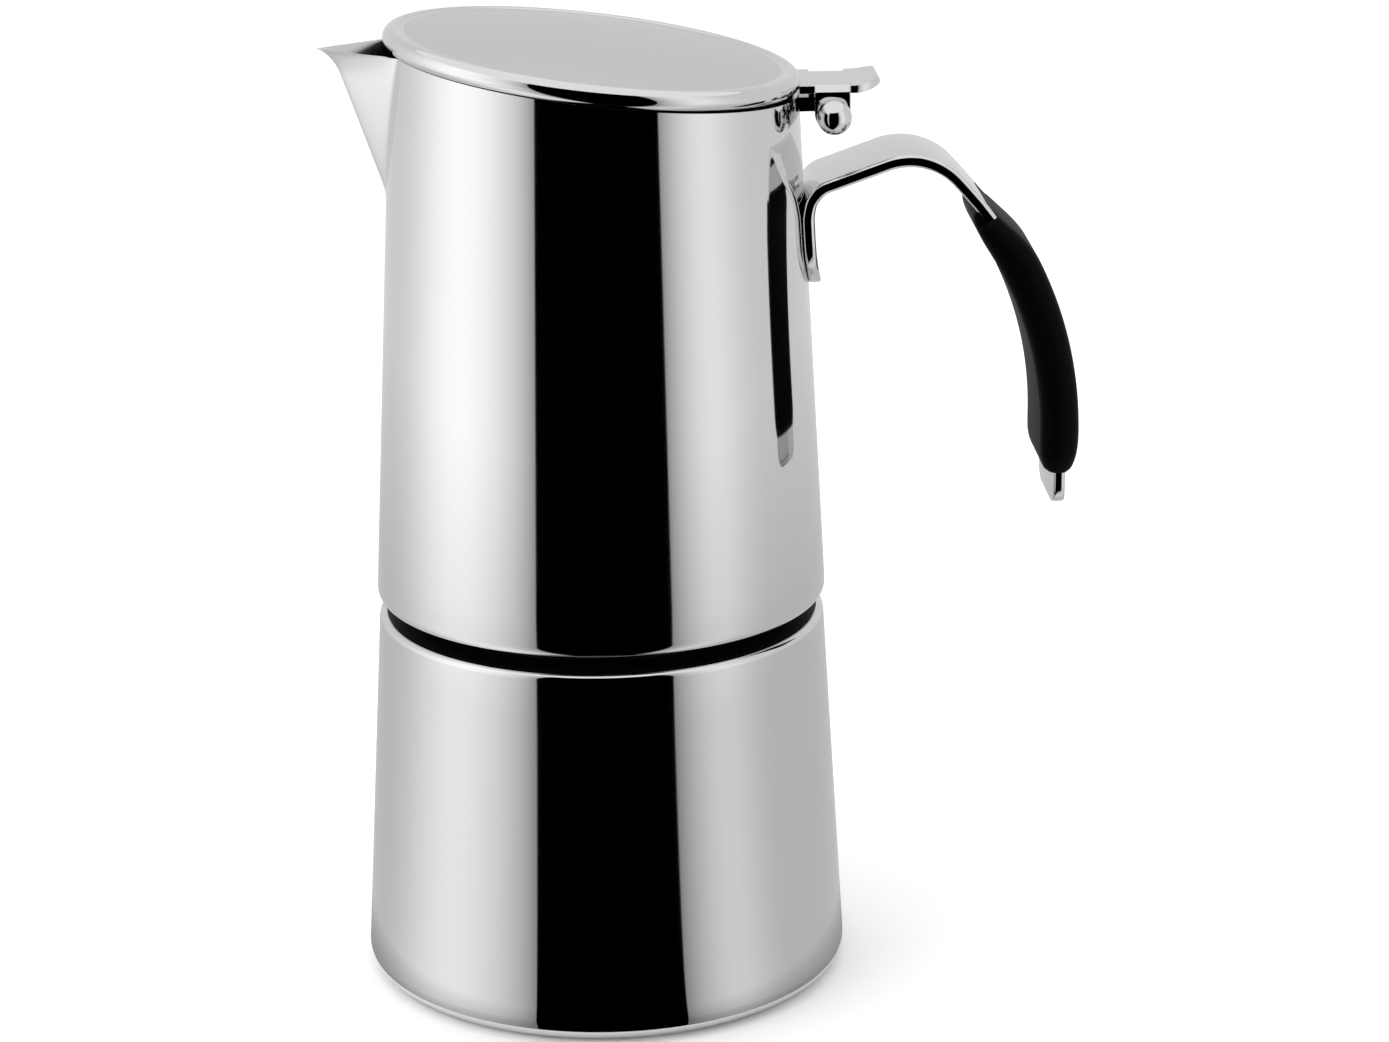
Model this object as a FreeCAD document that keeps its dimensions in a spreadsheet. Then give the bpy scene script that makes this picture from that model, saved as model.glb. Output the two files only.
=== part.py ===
import FreeCAD, Part

# A stovetop espresso pot (moka pot) of polished steel: a tapered boiler, a jug that screws onto it,
# and a slanted lid hinged above a strip handle. Millimetres, +Z up, origin at the centre of the
# foot, handle towards +X, spout towards -X.

import math
import os

import Sketcher

PARTS_FOLDER = "parts"

# Driving dimensions: alias, value, what it is.
SIZES = [
    ("base_spread", 4.4, "how much wider the boiler's radius is where its wall would meet the floor"),
    ("shoulder_radius", 44.85, "boiler's outer radius where its wall would meet the shoulder"),
    ("shoulder_height", 75.9, "height of the boiler's flat shoulder"),
    ("foot_round", 4.4, "rounding of the foot"),
    ("shoulder_round", 1.5, "rounding of the shoulder"),
    ("boiler_wall", 1.2, "sheet thickness of the boiler"),
    ("foot_lift", 0.2, "how far the shell stands above the base disc's face"),
    ("disc_inset", 5.25, "base disc's edge inside the boiler's widest radius"),
    ("disc_thickness", 3.0, "base disc's thickness"),
    ("fit", 0.05, "clearance of pieces that are fitted and fixed"),
    ("running", 0.3, "clearance of pieces that move past each other"),
    ("neck_inset", 8.85, "root of the outside thread inside the shoulder's radius"),
    ("neck_wall", 3.0, "wall of the threaded neck"),
    ("neck_rise", 11.6, "height of the neck's sealing edge above the shoulder"),
    ("neck_depth", 1.5, "how far the neck reaches below the shoulder's sheet"),
    ("thread_depth", 1.2, "height of a thread ridge"),
    ("thread_lead", 4.0, "rise of the jug in one turn"),
    ("thread_root", 2.0, "width of a thread ridge at its root"),
    ("thread_crest", 0.8, "width of a thread ridge at its crest"),
    ("thread_turns", 1.5, "turns of each thread"),
    ("thread_rise", 3.1, "height where the outside thread starts, above the shoulder"),
    ("thread_play", 0.25, "radial gap between the threads' crests and roots"),
    ("collar_wall", 2.3, "wall of the threaded collar outside its thread"),
    ("collar_drop", 1.3, "how far the collar reaches below the jug's lip"),
    ("lip_overhang", 0.42, "how much wider the jug's lip would be than the boiler's shoulder"),
    ("groove_gap", 3.0, "gap between the boiler's shoulder and the jug's lip"),
    ("lip_round", 2.2, "rounding of the lip"),
    ("jug_taper", 2.95, "lean of the jug's wall, degrees"),
    ("jug_wall", 1.0, "sheet thickness of the jug"),
    ("flange_thickness", 1.0, "funnel flange"),
    ("flange_inset", 0.2, "funnel flange's edge inside the neck's radius"),
    ("cup_gap", 5.2, "gap between the coffee basket and the neck"),
    ("cup_wall", 0.8, "coffee basket's sheet"),
    ("cup_depth", 20.0, "coffee basket's depth above its strainer"),
    ("stem_radius", 5.0, "funnel stem's outer radius"),
    ("stem_wall", 0.8, "funnel stem's wall"),
    ("stem_clearance", 5.5, "gap between the stem and the boiler's floor"),
    ("hole_radius", 0.7, "radius of the coffee holes"),
    ("plate_thickness", 0.8, "filter plate and strainer"),
    ("gasket_inset", 1.5, "gasket's bore outside the basket's inner radius"),
    ("gasket_overhang", 1.0, "gasket's edge outside the neck's radius"),
    ("gasket_thickness", 2.5, "gasket"),
    ("floor_thickness", 1.0, "jug's floor"),
    ("column_radius", 6.5, "column's outer radius"),
    ("column_wall", 1.2, "column's wall"),
    ("cone_rise", 6.2, "how far the jug's floor rises to the column"),
    ("column_length", 52.0, "length of the column's tube"),
    ("cap_height", 7.0, "height of the column's cap"),
    ("cap_overhang", 1.6, "how far the cap stands out from the column"),
    ("outlet_radius", 2.0, "radius of the outlets in the cap"),
    ("jug_height", 110.75, "lid rim's upper plane above the jug's lip, on the pot's axis"),
    ("lid_tilt", 7.13, "slant of the lid, degrees"),
    ("lid_overhang", 1.12, "how far the lid's rolled rim stands out from the jug's wall"),
    ("rim_roll", 2.0, "radius of the lid's rolled rim"),
    ("lid_sheet", 1.0, "lid's sheet"),
    ("lid_rise", 2.6, "height of the lid's dome above its rim"),
    ("rim_groove", 0.35, "depth of the dome's edge below the rim's top"),
    ("lid_seat", 0.1, "gap between the lid and the jug's rim"),
    ("hinge_stand", 5.85, "distance of the hinge pin from the jug's wall"),
    ("hinge_drop", 12.35, "hinge pin below the lid rim's upper plane on the pot's axis"),
    ("pin_radius", 1.5, "hinge pin"),
    ("knuckle_radius", 3.2, "hinge knuckle"),
    ("web_low", 0.2, "hinge web's lower face above the pin's axis"),
    ("web_high", 3.0, "hinge web's upper face above the pin's axis"),
    ("ball_radius", 3.4, "ball heads of the hinge pin"),
    ("lever_width", 17.5, "width of the lid's lever"),
    ("lever_thickness", 1.5, "lever's sheet"),
    ("lever_rise", 5.5, "lever's upper face above the hinge pin"),
    ("lever_reach", 4.35, "where the lever starts to curl up, from the hinge pin"),
    ("tab_curl", 10.0, "radius of the thumb tab's curl"),
    ("tab_reach", 4.5, "length of the thumb tab"),
    ("tab_angle", 30.0, "angle of the thumb tab's curl, degrees"),
    ("strip_width", 22.0, "width of the handle's strip"),
    ("strip_thickness", 2.4, "thickness of the handle's strip"),
    ("tongue_length", 20.2, "height from the tongue's end to the bend of tongue and arm"),
    ("arm_drop", 27.45, "bend of tongue and arm below the lid rim's upper plane"),
    ("arm_slope", 19.4, "slope of the handle's arm, degrees"),
    ("crest_out", 22.52, "from the tongue to where arm and falling part would meet"),
    ("tail_out", 49.12, "from the tongue to the handle's tail"),
    ("tail_drop", 64.7, "tail's end below the bend of tongue and arm"),
    ("tail_bend_drop", 21.4, "where falling part and tail would meet, below the bend of tongue and arm"),
    ("arm_round", 4.0, "bend between tongue and arm"),
    ("crest_round", 13.0, "bend at the handle's crest"),
    ("tail_round", 74.0, "long curve of the handle"),
    ("tail_corner", 3.0, "rounding of the tail's corners"),
    ("tongue_corner", 8.0, "rounding of the tongue's corners"),
    ("strip_edge", 0.7, "rounding of the strip's edges"),
    ("grip_width", 25.0, "width of the grip"),
    ("grip_thickness", 7.8, "thickness of the grip"),
    ("grip_start", 38.5, "where the grip starts on the long curve, degrees above the tail"),
    ("tail_bare", 6.5, "bare end of the tail below the grip"),
    ("spout_out", 14.35, "how far the spout's tip stands out from the jug's wall at the rim"),
    ("spout_fold_in", 2.9, "how far the fold's top lies inside the tip"),
    ("spout_lip_height", 4.0, "height of the leaning lip above the fold's top"),
    ("spout_length", 30.7, "height of the spout"),
    ("spout_rise", 0.55, "spout's lip above the lid rim's upper plane on the pot's axis"),
    ("spout_half", 12.0, "half the spout's width at the rim"),
    ("spout_sheet", 1.0, "spout's sheet"),
    ("spout_nose", 1.6, "rounding of the spout's fold"),
    ("valve_height", 52.0, "height of the safety valve"),
    ("valve_radius", 3.6, "valve's shank"),
    ("valve_flange", 6.5, "valve body's flange radius"),
    ("valve_length", 7.0, "how far the valve body stands out of the wall"),
    ("valve_bore", 2.6, "spring chamber's radius"),
    ("valve_seat", 1.3, "radius of the valve's bore"),
    ("valve_stand", 0.5, "how far the valve's flat faces stand off the curved wall"),
    ("washer_thickness", 1.2, "valve's washer"),
    ("valve_hex", 2.5, "thickness of the valve body's flange and of its nut"),
    ("valve_web", 0.8, "wall between the valve's seat and its flange, and round its spring chamber"),
    ("valve_play", 0.25, "radial play of the valve pin"),
    ("valve_tip", 1.6, "how far the valve pin stands out of its cap"),
    ("spring_wire", 0.25, "radius of the valve spring's wire"),
]

# Values worked out from the driving ones: name, expression.
PLAN = [
    ("base_radius", "sizes.shoulder_radius + sizes.base_spread"),
    ("boiler_lean", "sizes.base_spread / sizes.shoulder_height"),
    ("boiler_floor", "sizes.disc_thickness + sizes.boiler_wall"),
    ("shoulder_under", "sizes.shoulder_height - sizes.boiler_wall"),
    ("disc_radius", "plan.base_radius - sizes.disc_inset"),
    ("neck_radius", "sizes.shoulder_radius - sizes.neck_inset"),
    ("neck_inner", "plan.neck_radius - sizes.neck_wall"),
    ("neck_top", "sizes.shoulder_height + sizes.neck_rise"),
    ("thread_start", "sizes.shoulder_height + sizes.thread_rise"),
    ("collar_bore", "plan.neck_radius + sizes.thread_depth + sizes.thread_play"),
    ("collar_outer", "plan.collar_bore + sizes.collar_wall"),
    ("flange_radius", "plan.neck_radius - sizes.flange_inset"),
    ("flange_top", "plan.neck_top + sizes.flange_thickness"),
    ("cup_radius", "plan.neck_inner - sizes.cup_gap - sizes.cup_wall"),
    ("strainer_top", "plan.flange_top - sizes.cup_depth"),
    ("strainer_under", "plan.strainer_top - sizes.plate_thickness"),
    ("cup_bottom", "plan.strainer_under - 3"),
    ("stem_bottom", "plan.boiler_floor + sizes.stem_clearance"),
    ("gasket_inner", "plan.cup_radius + sizes.gasket_inset"),
    ("gasket_outer", "plan.neck_radius + sizes.gasket_overhang"),
    ("gasket_top", "plan.flange_top + sizes.gasket_thickness"),
    ("plate_top", "plan.gasket_top + sizes.plate_thickness"),
    ("lip_radius", "sizes.shoulder_radius + sizes.lip_overhang"),
    ("lip_height", "sizes.shoulder_height + sizes.groove_gap"),
    ("lean", "tan(sizes.jug_taper * 1deg)"),
    ("slant", "tan(sizes.lid_tilt * 1deg)"),
    ("lid_height", "plan.lip_height + sizes.jug_height"),
    ("rim_height", "plan.lid_height - (2 * sizes.rim_roll + sizes.lid_seat) / cos(sizes.lid_tilt * 1deg)"),
    ("floor_top", "plan.plate_top + sizes.floor_thickness"),
    ("floor_radius", "plan.lip_radius - (plan.floor_top - plan.lip_height) * plan.lean"
                     " - sizes.jug_wall - sizes.fit"),
    ("column_foot", "plan.plate_top + sizes.cone_rise"),
    ("column_top", "plan.column_foot + sizes.column_length"),
    ("lid_radius", "plan.lip_radius - (plan.rim_height - plan.lip_height) * plan.lean + sizes.lid_overhang"),
    ("dome_reach", "plan.lid_radius - 2 * sizes.rim_roll"),
    ("dome_slope", "atan(2 * (sizes.lid_rise + sizes.rim_groove) / plan.dome_reach) / 1deg"),
    ("dome_round", "0.47 * plan.dome_reach / tan(plan.dome_slope / 2 * 1deg)"),
    ("hinge_height", "plan.lid_height - sizes.hinge_drop"),
    ("hinge_root", "plan.lip_radius - (plan.hinge_height - plan.lip_height) * plan.lean - 4"),
    ("hinge_reach", "plan.hinge_root + 4 + sizes.hinge_stand"),
    ("ball_place", "sizes.lever_width / 2 + sizes.ball_radius + sizes.running / 2"),
    ("lever_top", "plan.hinge_height + sizes.lever_rise"),
    ("lever_bend", "plan.hinge_reach + sizes.lever_reach"),
    ("tab_tip_x", "plan.lever_bend + sizes.tab_reach"),
    ("tab_tip_z", "plan.lever_top + 0.6 * sizes.tab_reach * tan(sizes.tab_angle * 1deg)"),
    ("tab_end", "plan.tab_tip_x + 0.4"),
    ("tongue_top", "plan.lid_height - sizes.arm_drop"),
    ("tongue_bottom", "plan.tongue_top - sizes.tongue_length"),
    ("wall_at_tongue", "plan.lip_radius - (plan.tongue_bottom - plan.lip_height) * plan.lean"),
    ("wall_at_bend", "plan.lip_radius - (plan.tongue_top - plan.lip_height) * plan.lean"),
    ("arm_x", "plan.wall_at_bend + sizes.fit + sizes.strip_thickness / 2"),
    ("crest_reach", "plan.arm_x + sizes.crest_out"),
    ("crest_z", "plan.tongue_top + sizes.crest_out * tan(sizes.arm_slope * 1deg)"),
    ("tail_reach", "plan.arm_x + sizes.tail_out"),
    ("tail_bend", "plan.tongue_top - sizes.tail_bend_drop"),
    ("tail_bottom", "plan.tongue_top - sizes.tail_drop"),
    ("curve_angle", "atan((plan.tail_reach - plan.crest_reach)"
                    " / (plan.crest_z - plan.tail_bend)) / 1deg"),
    ("curve_x", "plan.tail_reach - sizes.tail_round"),
    ("curve_z", "plan.tail_bend - sizes.tail_round * tan(plan.curve_angle / 2 * 1deg)"),
    ("grip_bottom", "plan.tail_bottom + sizes.tail_bare"),
    ("spout_top", "plan.lid_height + sizes.spout_rise"),
    ("spout_bottom", "plan.spout_top - sizes.spout_length"),
    ("wall_at_spout", "plan.lip_radius - (plan.spout_top - plan.lip_height) * plan.lean"),
    ("spout_root", "plan.wall_at_spout - 3"),
    ("spout_reach", "plan.wall_at_spout + sizes.spout_out"),
    ("spout_fold_reach", "plan.spout_reach - sizes.spout_fold_in"),
    ("spout_fold_height", "plan.spout_top - sizes.spout_lip_height"),
    ("spout_fold_half", "sizes.spout_half * (plan.spout_fold_height - plan.spout_bottom)"
                        " / (plan.spout_top - plan.spout_bottom)"),
]

doc = FreeCAD.newDocument("moka_pot")
sheet = doc.addObject("Spreadsheet::Sheet", "sizes")
for row, (alias, number, meaning) in enumerate(SIZES, start=1):
    sheet.set(f"A{row}", meaning)
    sheet.set(f"B{row}", str(number))
    sheet.setAlias(f"B{row}", alias)
doc.recompute()

plan = doc.addObject("App::VarSet", "plan")
for name, _ in PLAN:
    plan.addProperty("App::PropertyFloat", name)
for name, expression in PLAN:
    plan.setExpression(name, expression)
doc.recompute()

SUB_PARTS = []


def value(expression):
    """The number that an expression on the sheet gives now."""
    result = sheet.evalExpression(str(expression))
    return float(getattr(result, "Value", result))


def new_body(label):
    """An empty body, kept in the list of sub-parts."""
    body = doc.addObject("PartDesign::Body", label)
    body.Label = label
    SUB_PARTS.append(body)
    return body


def new_sketch(body, name, plane, offset=None):
    """A sketch on one of the body's origin planes, moved along the plane's normal by offset."""
    sketch = body.newObject("Sketcher::SketchObject", name)
    support = next(item for item in body.Origin.OriginFeatures if item.Role == plane)
    sketch.AttachmentSupport = (support, [""])
    sketch.MapMode = "FlatFace"
    if offset is not None:
        sketch.setExpression("AttachmentOffset.Base.z", offset)
    return sketch


def bind(sketch, kind, *target):
    """Adds a dimension and binds it to its expression, the last argument."""
    *geometry, expression = target
    index = sketch.addConstraint(Sketcher.Constraint(kind, *geometry, value(expression)))
    sketch.setExpression(f"Constraints[{index}]", str(expression))


def place(sketch, geometry, point, x, y):
    """Ties a point of a geometry to its coordinates in the sketch."""
    bind(sketch, "DistanceX", -1, 1, geometry, point, x)
    bind(sketch, "DistanceY", -1, 1, geometry, point, y)


def draw_path(sketch, corners, closed=True):
    """Straight sides between corners (x, y) or (x, y, rounding), each an expression."""
    count = len(corners)
    spots = [FreeCAD.Vector(value(c[0]), value(c[1]), 0) for c in corners]
    arrive, leave = list(spots), list(spots)
    arcs = {}
    for i, corner in enumerate(corners):
        if len(corner) < 3:
            continue
        back = (spots[i - 1] - spots[i]).normalize()
        ahead = (spots[(i + 1) % count] - spots[i]).normalize()
        half = back.getAngle(ahead) / 2
        radius = value(corner[2])
        arrive[i] = spots[i] + back * (radius / math.tan(half))
        leave[i] = spots[i] + ahead * (radius / math.tan(half))
        middle = spots[i] + (back + ahead).normalize() * (radius / math.sin(half) - radius)
        turns_left = back.cross(ahead).z < 0
        ends = (arrive[i], leave[i]) if turns_left else (leave[i], arrive[i])
        arcs[i] = (Part.Arc(ends[0], middle, ends[1]), (1, 2) if turns_left else (2, 1))
    sides = {}
    for i in range(count if closed else count - 1):
        sides[i] = sketch.addGeometry(Part.LineSegment(leave[i], arrive[(i + 1) % count]), False)
    for i in range(count):
        before = sides.get((i - 1) % count)
        after = sides.get(i)
        if i not in arcs:
            if before is not None and after is not None:
                sketch.addConstraint(Sketcher.Constraint("Coincident", before, 2, after, 1))
            which = (after, 1) if after is not None else (before, 2)
            place(sketch, *which, corners[i][0], corners[i][1])
            continue
        arc, (first, last) = arcs[i]
        bend = sketch.addGeometry(arc, False)
        apex = sketch.addGeometry(Part.Point(spots[i]), True)
        sketch.addConstraint(Sketcher.Constraint("Tangent", before, 2, bend, first))
        sketch.addConstraint(Sketcher.Constraint("Tangent", bend, last, after, 1))
        bind(sketch, "Radius", bend, corners[i][2])
        place(sketch, apex, 1, corners[i][0], corners[i][1])
        sketch.addConstraint(Sketcher.Constraint("PointOnObject", apex, 1, before))
        sketch.addConstraint(Sketcher.Constraint("PointOnObject", apex, 1, after))


def draw_circle(sketch, x, y, radius):
    """A circle whose centre and radius are expressions."""
    spot = FreeCAD.Vector(value(x), value(y), 0)
    circle = sketch.addGeometry(Part.Circle(spot, FreeCAD.Vector(0, 0, 1), value(radius)), False)
    place(sketch, circle, 3, x, y)
    bind(sketch, "Radius", circle, radius)


def turned(body, name, corners, angle=None):
    """Turns an outline of (radius, height) corners about the pot's axis, adding to the body."""
    sketch = new_sketch(body, name + "_outline", "XZ_Plane")
    draw_path(sketch, corners)
    feature = body.newObject("PartDesign::Revolution", name)
    feature.Profile = sketch
    feature.ReferenceAxis = (sketch, ["V_Axis"])
    feature.Angle = 360
    if angle is not None:
        feature.Midplane = True
        feature.setExpression("Angle", angle)
    doc.recompute()
    return feature


def padded(body, name, plane, corners, length, offset=None, middle=True):
    """Pads an outline by length, to both sides alike unless middle is false."""
    sketch = new_sketch(body, name + "_outline", plane, offset)
    draw_path(sketch, corners)
    feature = body.newObject("PartDesign::Pad", name)
    feature.Profile = sketch
    feature.setExpression("Length", length)
    feature.Midplane = middle
    doc.recompute()
    return feature


def cut_through(body, name, sketch, length=None):
    """Pockets a sketch to both sides alike and makes sure that it took something away."""
    before = body.Shape.Volume
    feature = body.newObject("PartDesign::Pocket", name)
    feature.Profile = sketch
    feature.Midplane = True
    if length is None:
        feature.Type = "ThroughAll"
    else:
        feature.setExpression("Length", length)
    doc.recompute()
    if body.Shape.Volume >= before - 1e-6:
        raise RuntimeError(f"{body.Label}: {name} cuts nothing")
    return feature


def ring_of_holes(body, name, offset, rings):
    """Holes of the coffee holes' size in rings of (radius, count) about the pot's axis."""
    sketch = new_sketch(body, name + "_first_holes", "XY_Plane", offset)
    draw_circle(sketch, "0", "0", "sizes.hole_radius")
    cut_through(body, name + "_middle", sketch, "4 * sizes.plate_thickness")
    for index, (radius, count) in enumerate(rings):
        sketch = new_sketch(body, f"{name}_hole_{index}", "XY_Plane", offset)
        draw_circle(sketch, radius, "0", "sizes.hole_radius")
        pocket = cut_through(body, f"{name}_cut_{index}", sketch, "4 * sizes.plate_thickness")
        pattern = body.newObject("PartDesign::PolarPattern", f"{name}_ring_{index}")
        pattern.Originals = [pocket]
        pattern.Axis = (sketch, ["N_Axis"])
        pattern.Angle = 360
        pattern.Occurrences = count
        body.Tip = pattern
        doc.recompute()


# ---------------------------------------------------------------- boiler

def make_boiler_shell():
    """Drawn steel vessel: recess for the base disc, tapered wall, shoulder with the neck's hole."""
    body = new_body("boiler_shell")
    recess = "plan.disc_radius + sizes.fit"
    turned(body, "wall", [
        ("0", "sizes.disc_thickness"),
        (recess, "sizes.disc_thickness"),
        (recess, "sizes.foot_lift"),
        ("plan.base_radius", "sizes.foot_lift", "sizes.foot_round"),
        ("sizes.shoulder_radius", "sizes.shoulder_height", "sizes.shoulder_round"),
        ("plan.neck_radius", "sizes.shoulder_height"),
        ("plan.neck_radius", "plan.shoulder_under"),
        ("sizes.shoulder_radius - sizes.boiler_wall", "plan.shoulder_under", "0.5"),
        ("plan.base_radius - sizes.boiler_wall", "plan.boiler_floor",
         "sizes.foot_round - sizes.boiler_wall"),
        ("0", "plan.boiler_floor"),
    ])
    sketch = new_sketch(body, "valve_hole_outline", "XZ_Plane", "0 - plan.base_radius")
    draw_circle(sketch, "0", "sizes.valve_height", "sizes.valve_radius + sizes.fit")
    cut_through(body, "valve_hole", sketch, "plan.base_radius")


def make_base_disc():
    """Heat-spreading disc in the foot."""
    body = new_body("base_disc")
    turned(body, "disc", [
        ("0", "0"),
        ("plan.disc_radius", "0", "0.6"),
        ("plan.disc_radius", "sizes.disc_thickness"),
        ("0", "sizes.disc_thickness"),
    ])


def thread(body, name, root_radius, crest_radius, start):
    """A right-hand thread ridge wound about the pot's axis from its starting height."""
    sketch = new_sketch(body, name + "_section", "XZ_Plane")
    draw_path(sketch, [
        (root_radius, f"{start} - sizes.thread_root / 2"),
        (crest_radius, f"{start} - sizes.thread_crest / 2"),
        (crest_radius, f"{start} + sizes.thread_crest / 2"),
        (root_radius, f"{start} + sizes.thread_root / 2"),
    ])
    helix = body.newObject("PartDesign::AdditiveHelix", name)
    helix.Profile = sketch
    helix.ReferenceAxis = (sketch, ["V_Axis"])
    helix.Mode = "pitch-turns-angle"
    helix.setExpression("Pitch", "sizes.thread_lead")
    helix.setExpression("Turns", "sizes.thread_turns")
    helix.LeftHanded = False
    helix.Reversed = False
    doc.recompute()
    return helix


def make_neck_ring():
    """Neck welded into the shoulder, with the outside thread and the sealing edge."""
    body = new_body("neck_ring")
    turned(body, "ring", [
        ("plan.neck_inner", "plan.shoulder_under - sizes.neck_depth"),
        ("plan.neck_radius", "plan.shoulder_under - sizes.neck_depth"),
        ("plan.neck_radius", "plan.neck_top"),
        ("plan.neck_inner", "plan.neck_top"),
    ])
    thread(body, "outside_thread", "plan.neck_radius - 0.4",
           "plan.neck_radius + sizes.thread_depth", "plan.thread_start")


# ---------------------------------------------------------------- safety valve

def valve_feature(body, name, corners):
    """Turns an outline of (radius, distance from the pot's axis) corners about the valve's axis."""
    sketch = new_sketch(body, name + "_outline", "XY_Plane")
    draw_path(sketch, corners)
    feature = body.newObject("PartDesign::Revolution", name)
    feature.Profile = sketch
    feature.ReferenceAxis = (sketch, ["V_Axis"])
    feature.Angle = 360
    body.setExpression("Placement.Base.z", "sizes.valve_height")
    doc.recompute()
    return feature


VALVE_WALL = "(plan.base_radius - sizes.valve_height * plan.boiler_lean)"


def make_valve():
    """Spring-loaded valve through the boiler's back wall."""
    inside = f"{VALVE_WALL} - sizes.boiler_wall - sizes.valve_stand"
    washer_in = f"{VALVE_WALL} + sizes.valve_stand"
    washer_out = f"{washer_in} + sizes.washer_thickness"
    end = f"{washer_out} + sizes.valve_length"
    seat = f"{washer_out} + sizes.valve_web"
    barrel = "sizes.valve_radius + sizes.valve_web"

    body = new_body("valve_washer")
    valve_feature(body, "washer", [
        ("sizes.valve_radius + sizes.fit", washer_in),
        ("sizes.valve_flange", washer_in),
        ("sizes.valve_flange", washer_out),
        ("sizes.valve_radius + sizes.fit", washer_out),
    ])

    body = new_body("valve_body")
    valve_feature(body, "shank", [
        ("sizes.valve_seat", f"{inside} - 1.6 * sizes.valve_hex"),
        ("sizes.valve_radius", f"{inside} - 1.6 * sizes.valve_hex"),
        ("sizes.valve_radius", washer_out),
        ("sizes.valve_flange", washer_out),
        ("sizes.valve_flange", f"{washer_out} + sizes.valve_hex", "0.6"),
        (barrel, f"{washer_out} + sizes.valve_hex"),
        (barrel, end),
        ("sizes.valve_bore", end),
        ("sizes.valve_bore", seat),
        ("sizes.valve_seat", seat),
    ])

    body = new_body("valve_nut")
    sketch = new_sketch(body, "hexagon", "XZ_Plane")
    across = "1.75 * sizes.valve_radius"
    draw_path(sketch, [(f"{across} * cos({60 * k}deg)", f"{across} * sin({60 * k}deg)")
                       for k in range(6)])
    draw_circle(sketch, "0", "0", "sizes.valve_radius + sizes.fit")
    pad = body.newObject("PartDesign::Pad", "nut")
    pad.Profile = sketch
    pad.setExpression("Length", "sizes.valve_hex")
    pad.Reversed = False
    body.setExpression("Placement.Base.y", inside)
    body.setExpression("Placement.Base.z", "sizes.valve_height")
    doc.recompute()

    body = new_body("valve_pin")
    valve_feature(body, "pin", [
        ("0", f"{washer_out} - 3"),
        ("sizes.valve_seat - sizes.valve_play", f"{washer_out} - 3"),
        ("sizes.valve_seat - sizes.valve_play", seat),
        ("sizes.valve_bore - sizes.valve_play", seat),
        ("sizes.valve_bore - sizes.valve_play", f"{seat} + 1"),
        ("sizes.valve_seat - 1.6 * sizes.valve_play", f"{seat} + 1"),
        ("sizes.valve_seat - 1.6 * sizes.valve_play", f"{end} + sizes.valve_tip", "0.3"),
        ("0", f"{end} + sizes.valve_tip"),
    ])

    body = new_body("valve_cap")
    valve_feature(body, "cap", [
        ("sizes.valve_seat", end),
        (barrel, end),
        (barrel, f"{end} + 1", "0.4"),
        ("sizes.valve_seat", f"{end} + 1"),
    ])
    make_valve_spring(f"{seat} + 1.1", end)


def make_valve_spring(start, end):
    """Coil spring between the pin's collar and the cap."""
    body = new_body("valve_spring")
    wire = "sizes.spring_wire"
    sketch = new_sketch(body, "wire_section", "XY_Plane")
    draw_circle(sketch, "sizes.valve_bore - 2.6 * sizes.spring_wire", f"{start} + {wire}", wire)
    coil = body.newObject("PartDesign::AdditiveHelix", "coil")
    coil.Profile = sketch
    coil.ReferenceAxis = (sketch, ["V_Axis"])
    coil.Mode = "height-turns-growth"
    coil.setExpression("Height", f"{end} - ({start}) - 2 * {wire} - 0.1")
    coil.Turns = 5
    coil.Growth = 0
    body.setExpression("Placement.Base.z", "sizes.valve_height")
    doc.recompute()


# ---------------------------------------------------------------- funnel

def make_funnel():
    """Coffee basket, its stem and its strainer."""
    wall = "plan.cup_radius + sizes.cup_wall"
    body = new_body("funnel_cup")
    turned(body, "cup", [
        ("plan.cup_radius", "plan.flange_top"),
        ("plan.cup_radius", "plan.strainer_top"),
        ("plan.cup_radius", "plan.strainer_under"),
        ("plan.cup_radius - 1", "plan.strainer_under"),
        ("sizes.stem_radius", "plan.cup_bottom"),
        ("sizes.stem_radius", "plan.cup_bottom - 1"),
        (wall, "plan.strainer_under - 1", "0.6"),
        (wall, "plan.neck_top"),
        ("plan.flange_radius", "plan.neck_top"),
        ("plan.flange_radius", "plan.flange_top"),
    ])
    body = new_body("funnel_stem")
    turned(body, "stem", [
        ("sizes.stem_radius - sizes.stem_wall", "plan.stem_bottom"),
        ("sizes.stem_radius", "plan.stem_bottom"),
        ("sizes.stem_radius", "plan.cup_bottom"),
        ("sizes.stem_radius - sizes.stem_wall", "plan.cup_bottom"),
    ])
    body = new_body("funnel_strainer")
    turned(body, "strainer", [
        ("0", "plan.strainer_under"),
        ("plan.cup_radius - sizes.fit", "plan.strainer_under"),
        ("plan.cup_radius - sizes.fit", "plan.strainer_top"),
        ("0", "plan.strainer_top"),
    ])
    ring_of_holes(body, "holes", "plan.strainer_top", [
        ("plan.cup_radius * 0.2", 6), ("plan.cup_radius * 0.4", 12), ("plan.cup_radius * 0.6", 18),
        ("plan.cup_radius * 0.8", 24)])


def make_gasket():
    """Rubber ring between the funnel's flange and the filter plate."""
    body = new_body("gasket")
    turned(body, "ring", [
        ("plan.gasket_inner", "plan.flange_top"),
        ("plan.gasket_outer", "plan.flange_top"),
        ("plan.gasket_outer", "plan.gasket_top"),
        ("plan.gasket_inner", "plan.gasket_top"),
    ])


# ---------------------------------------------------------------- jug

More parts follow.
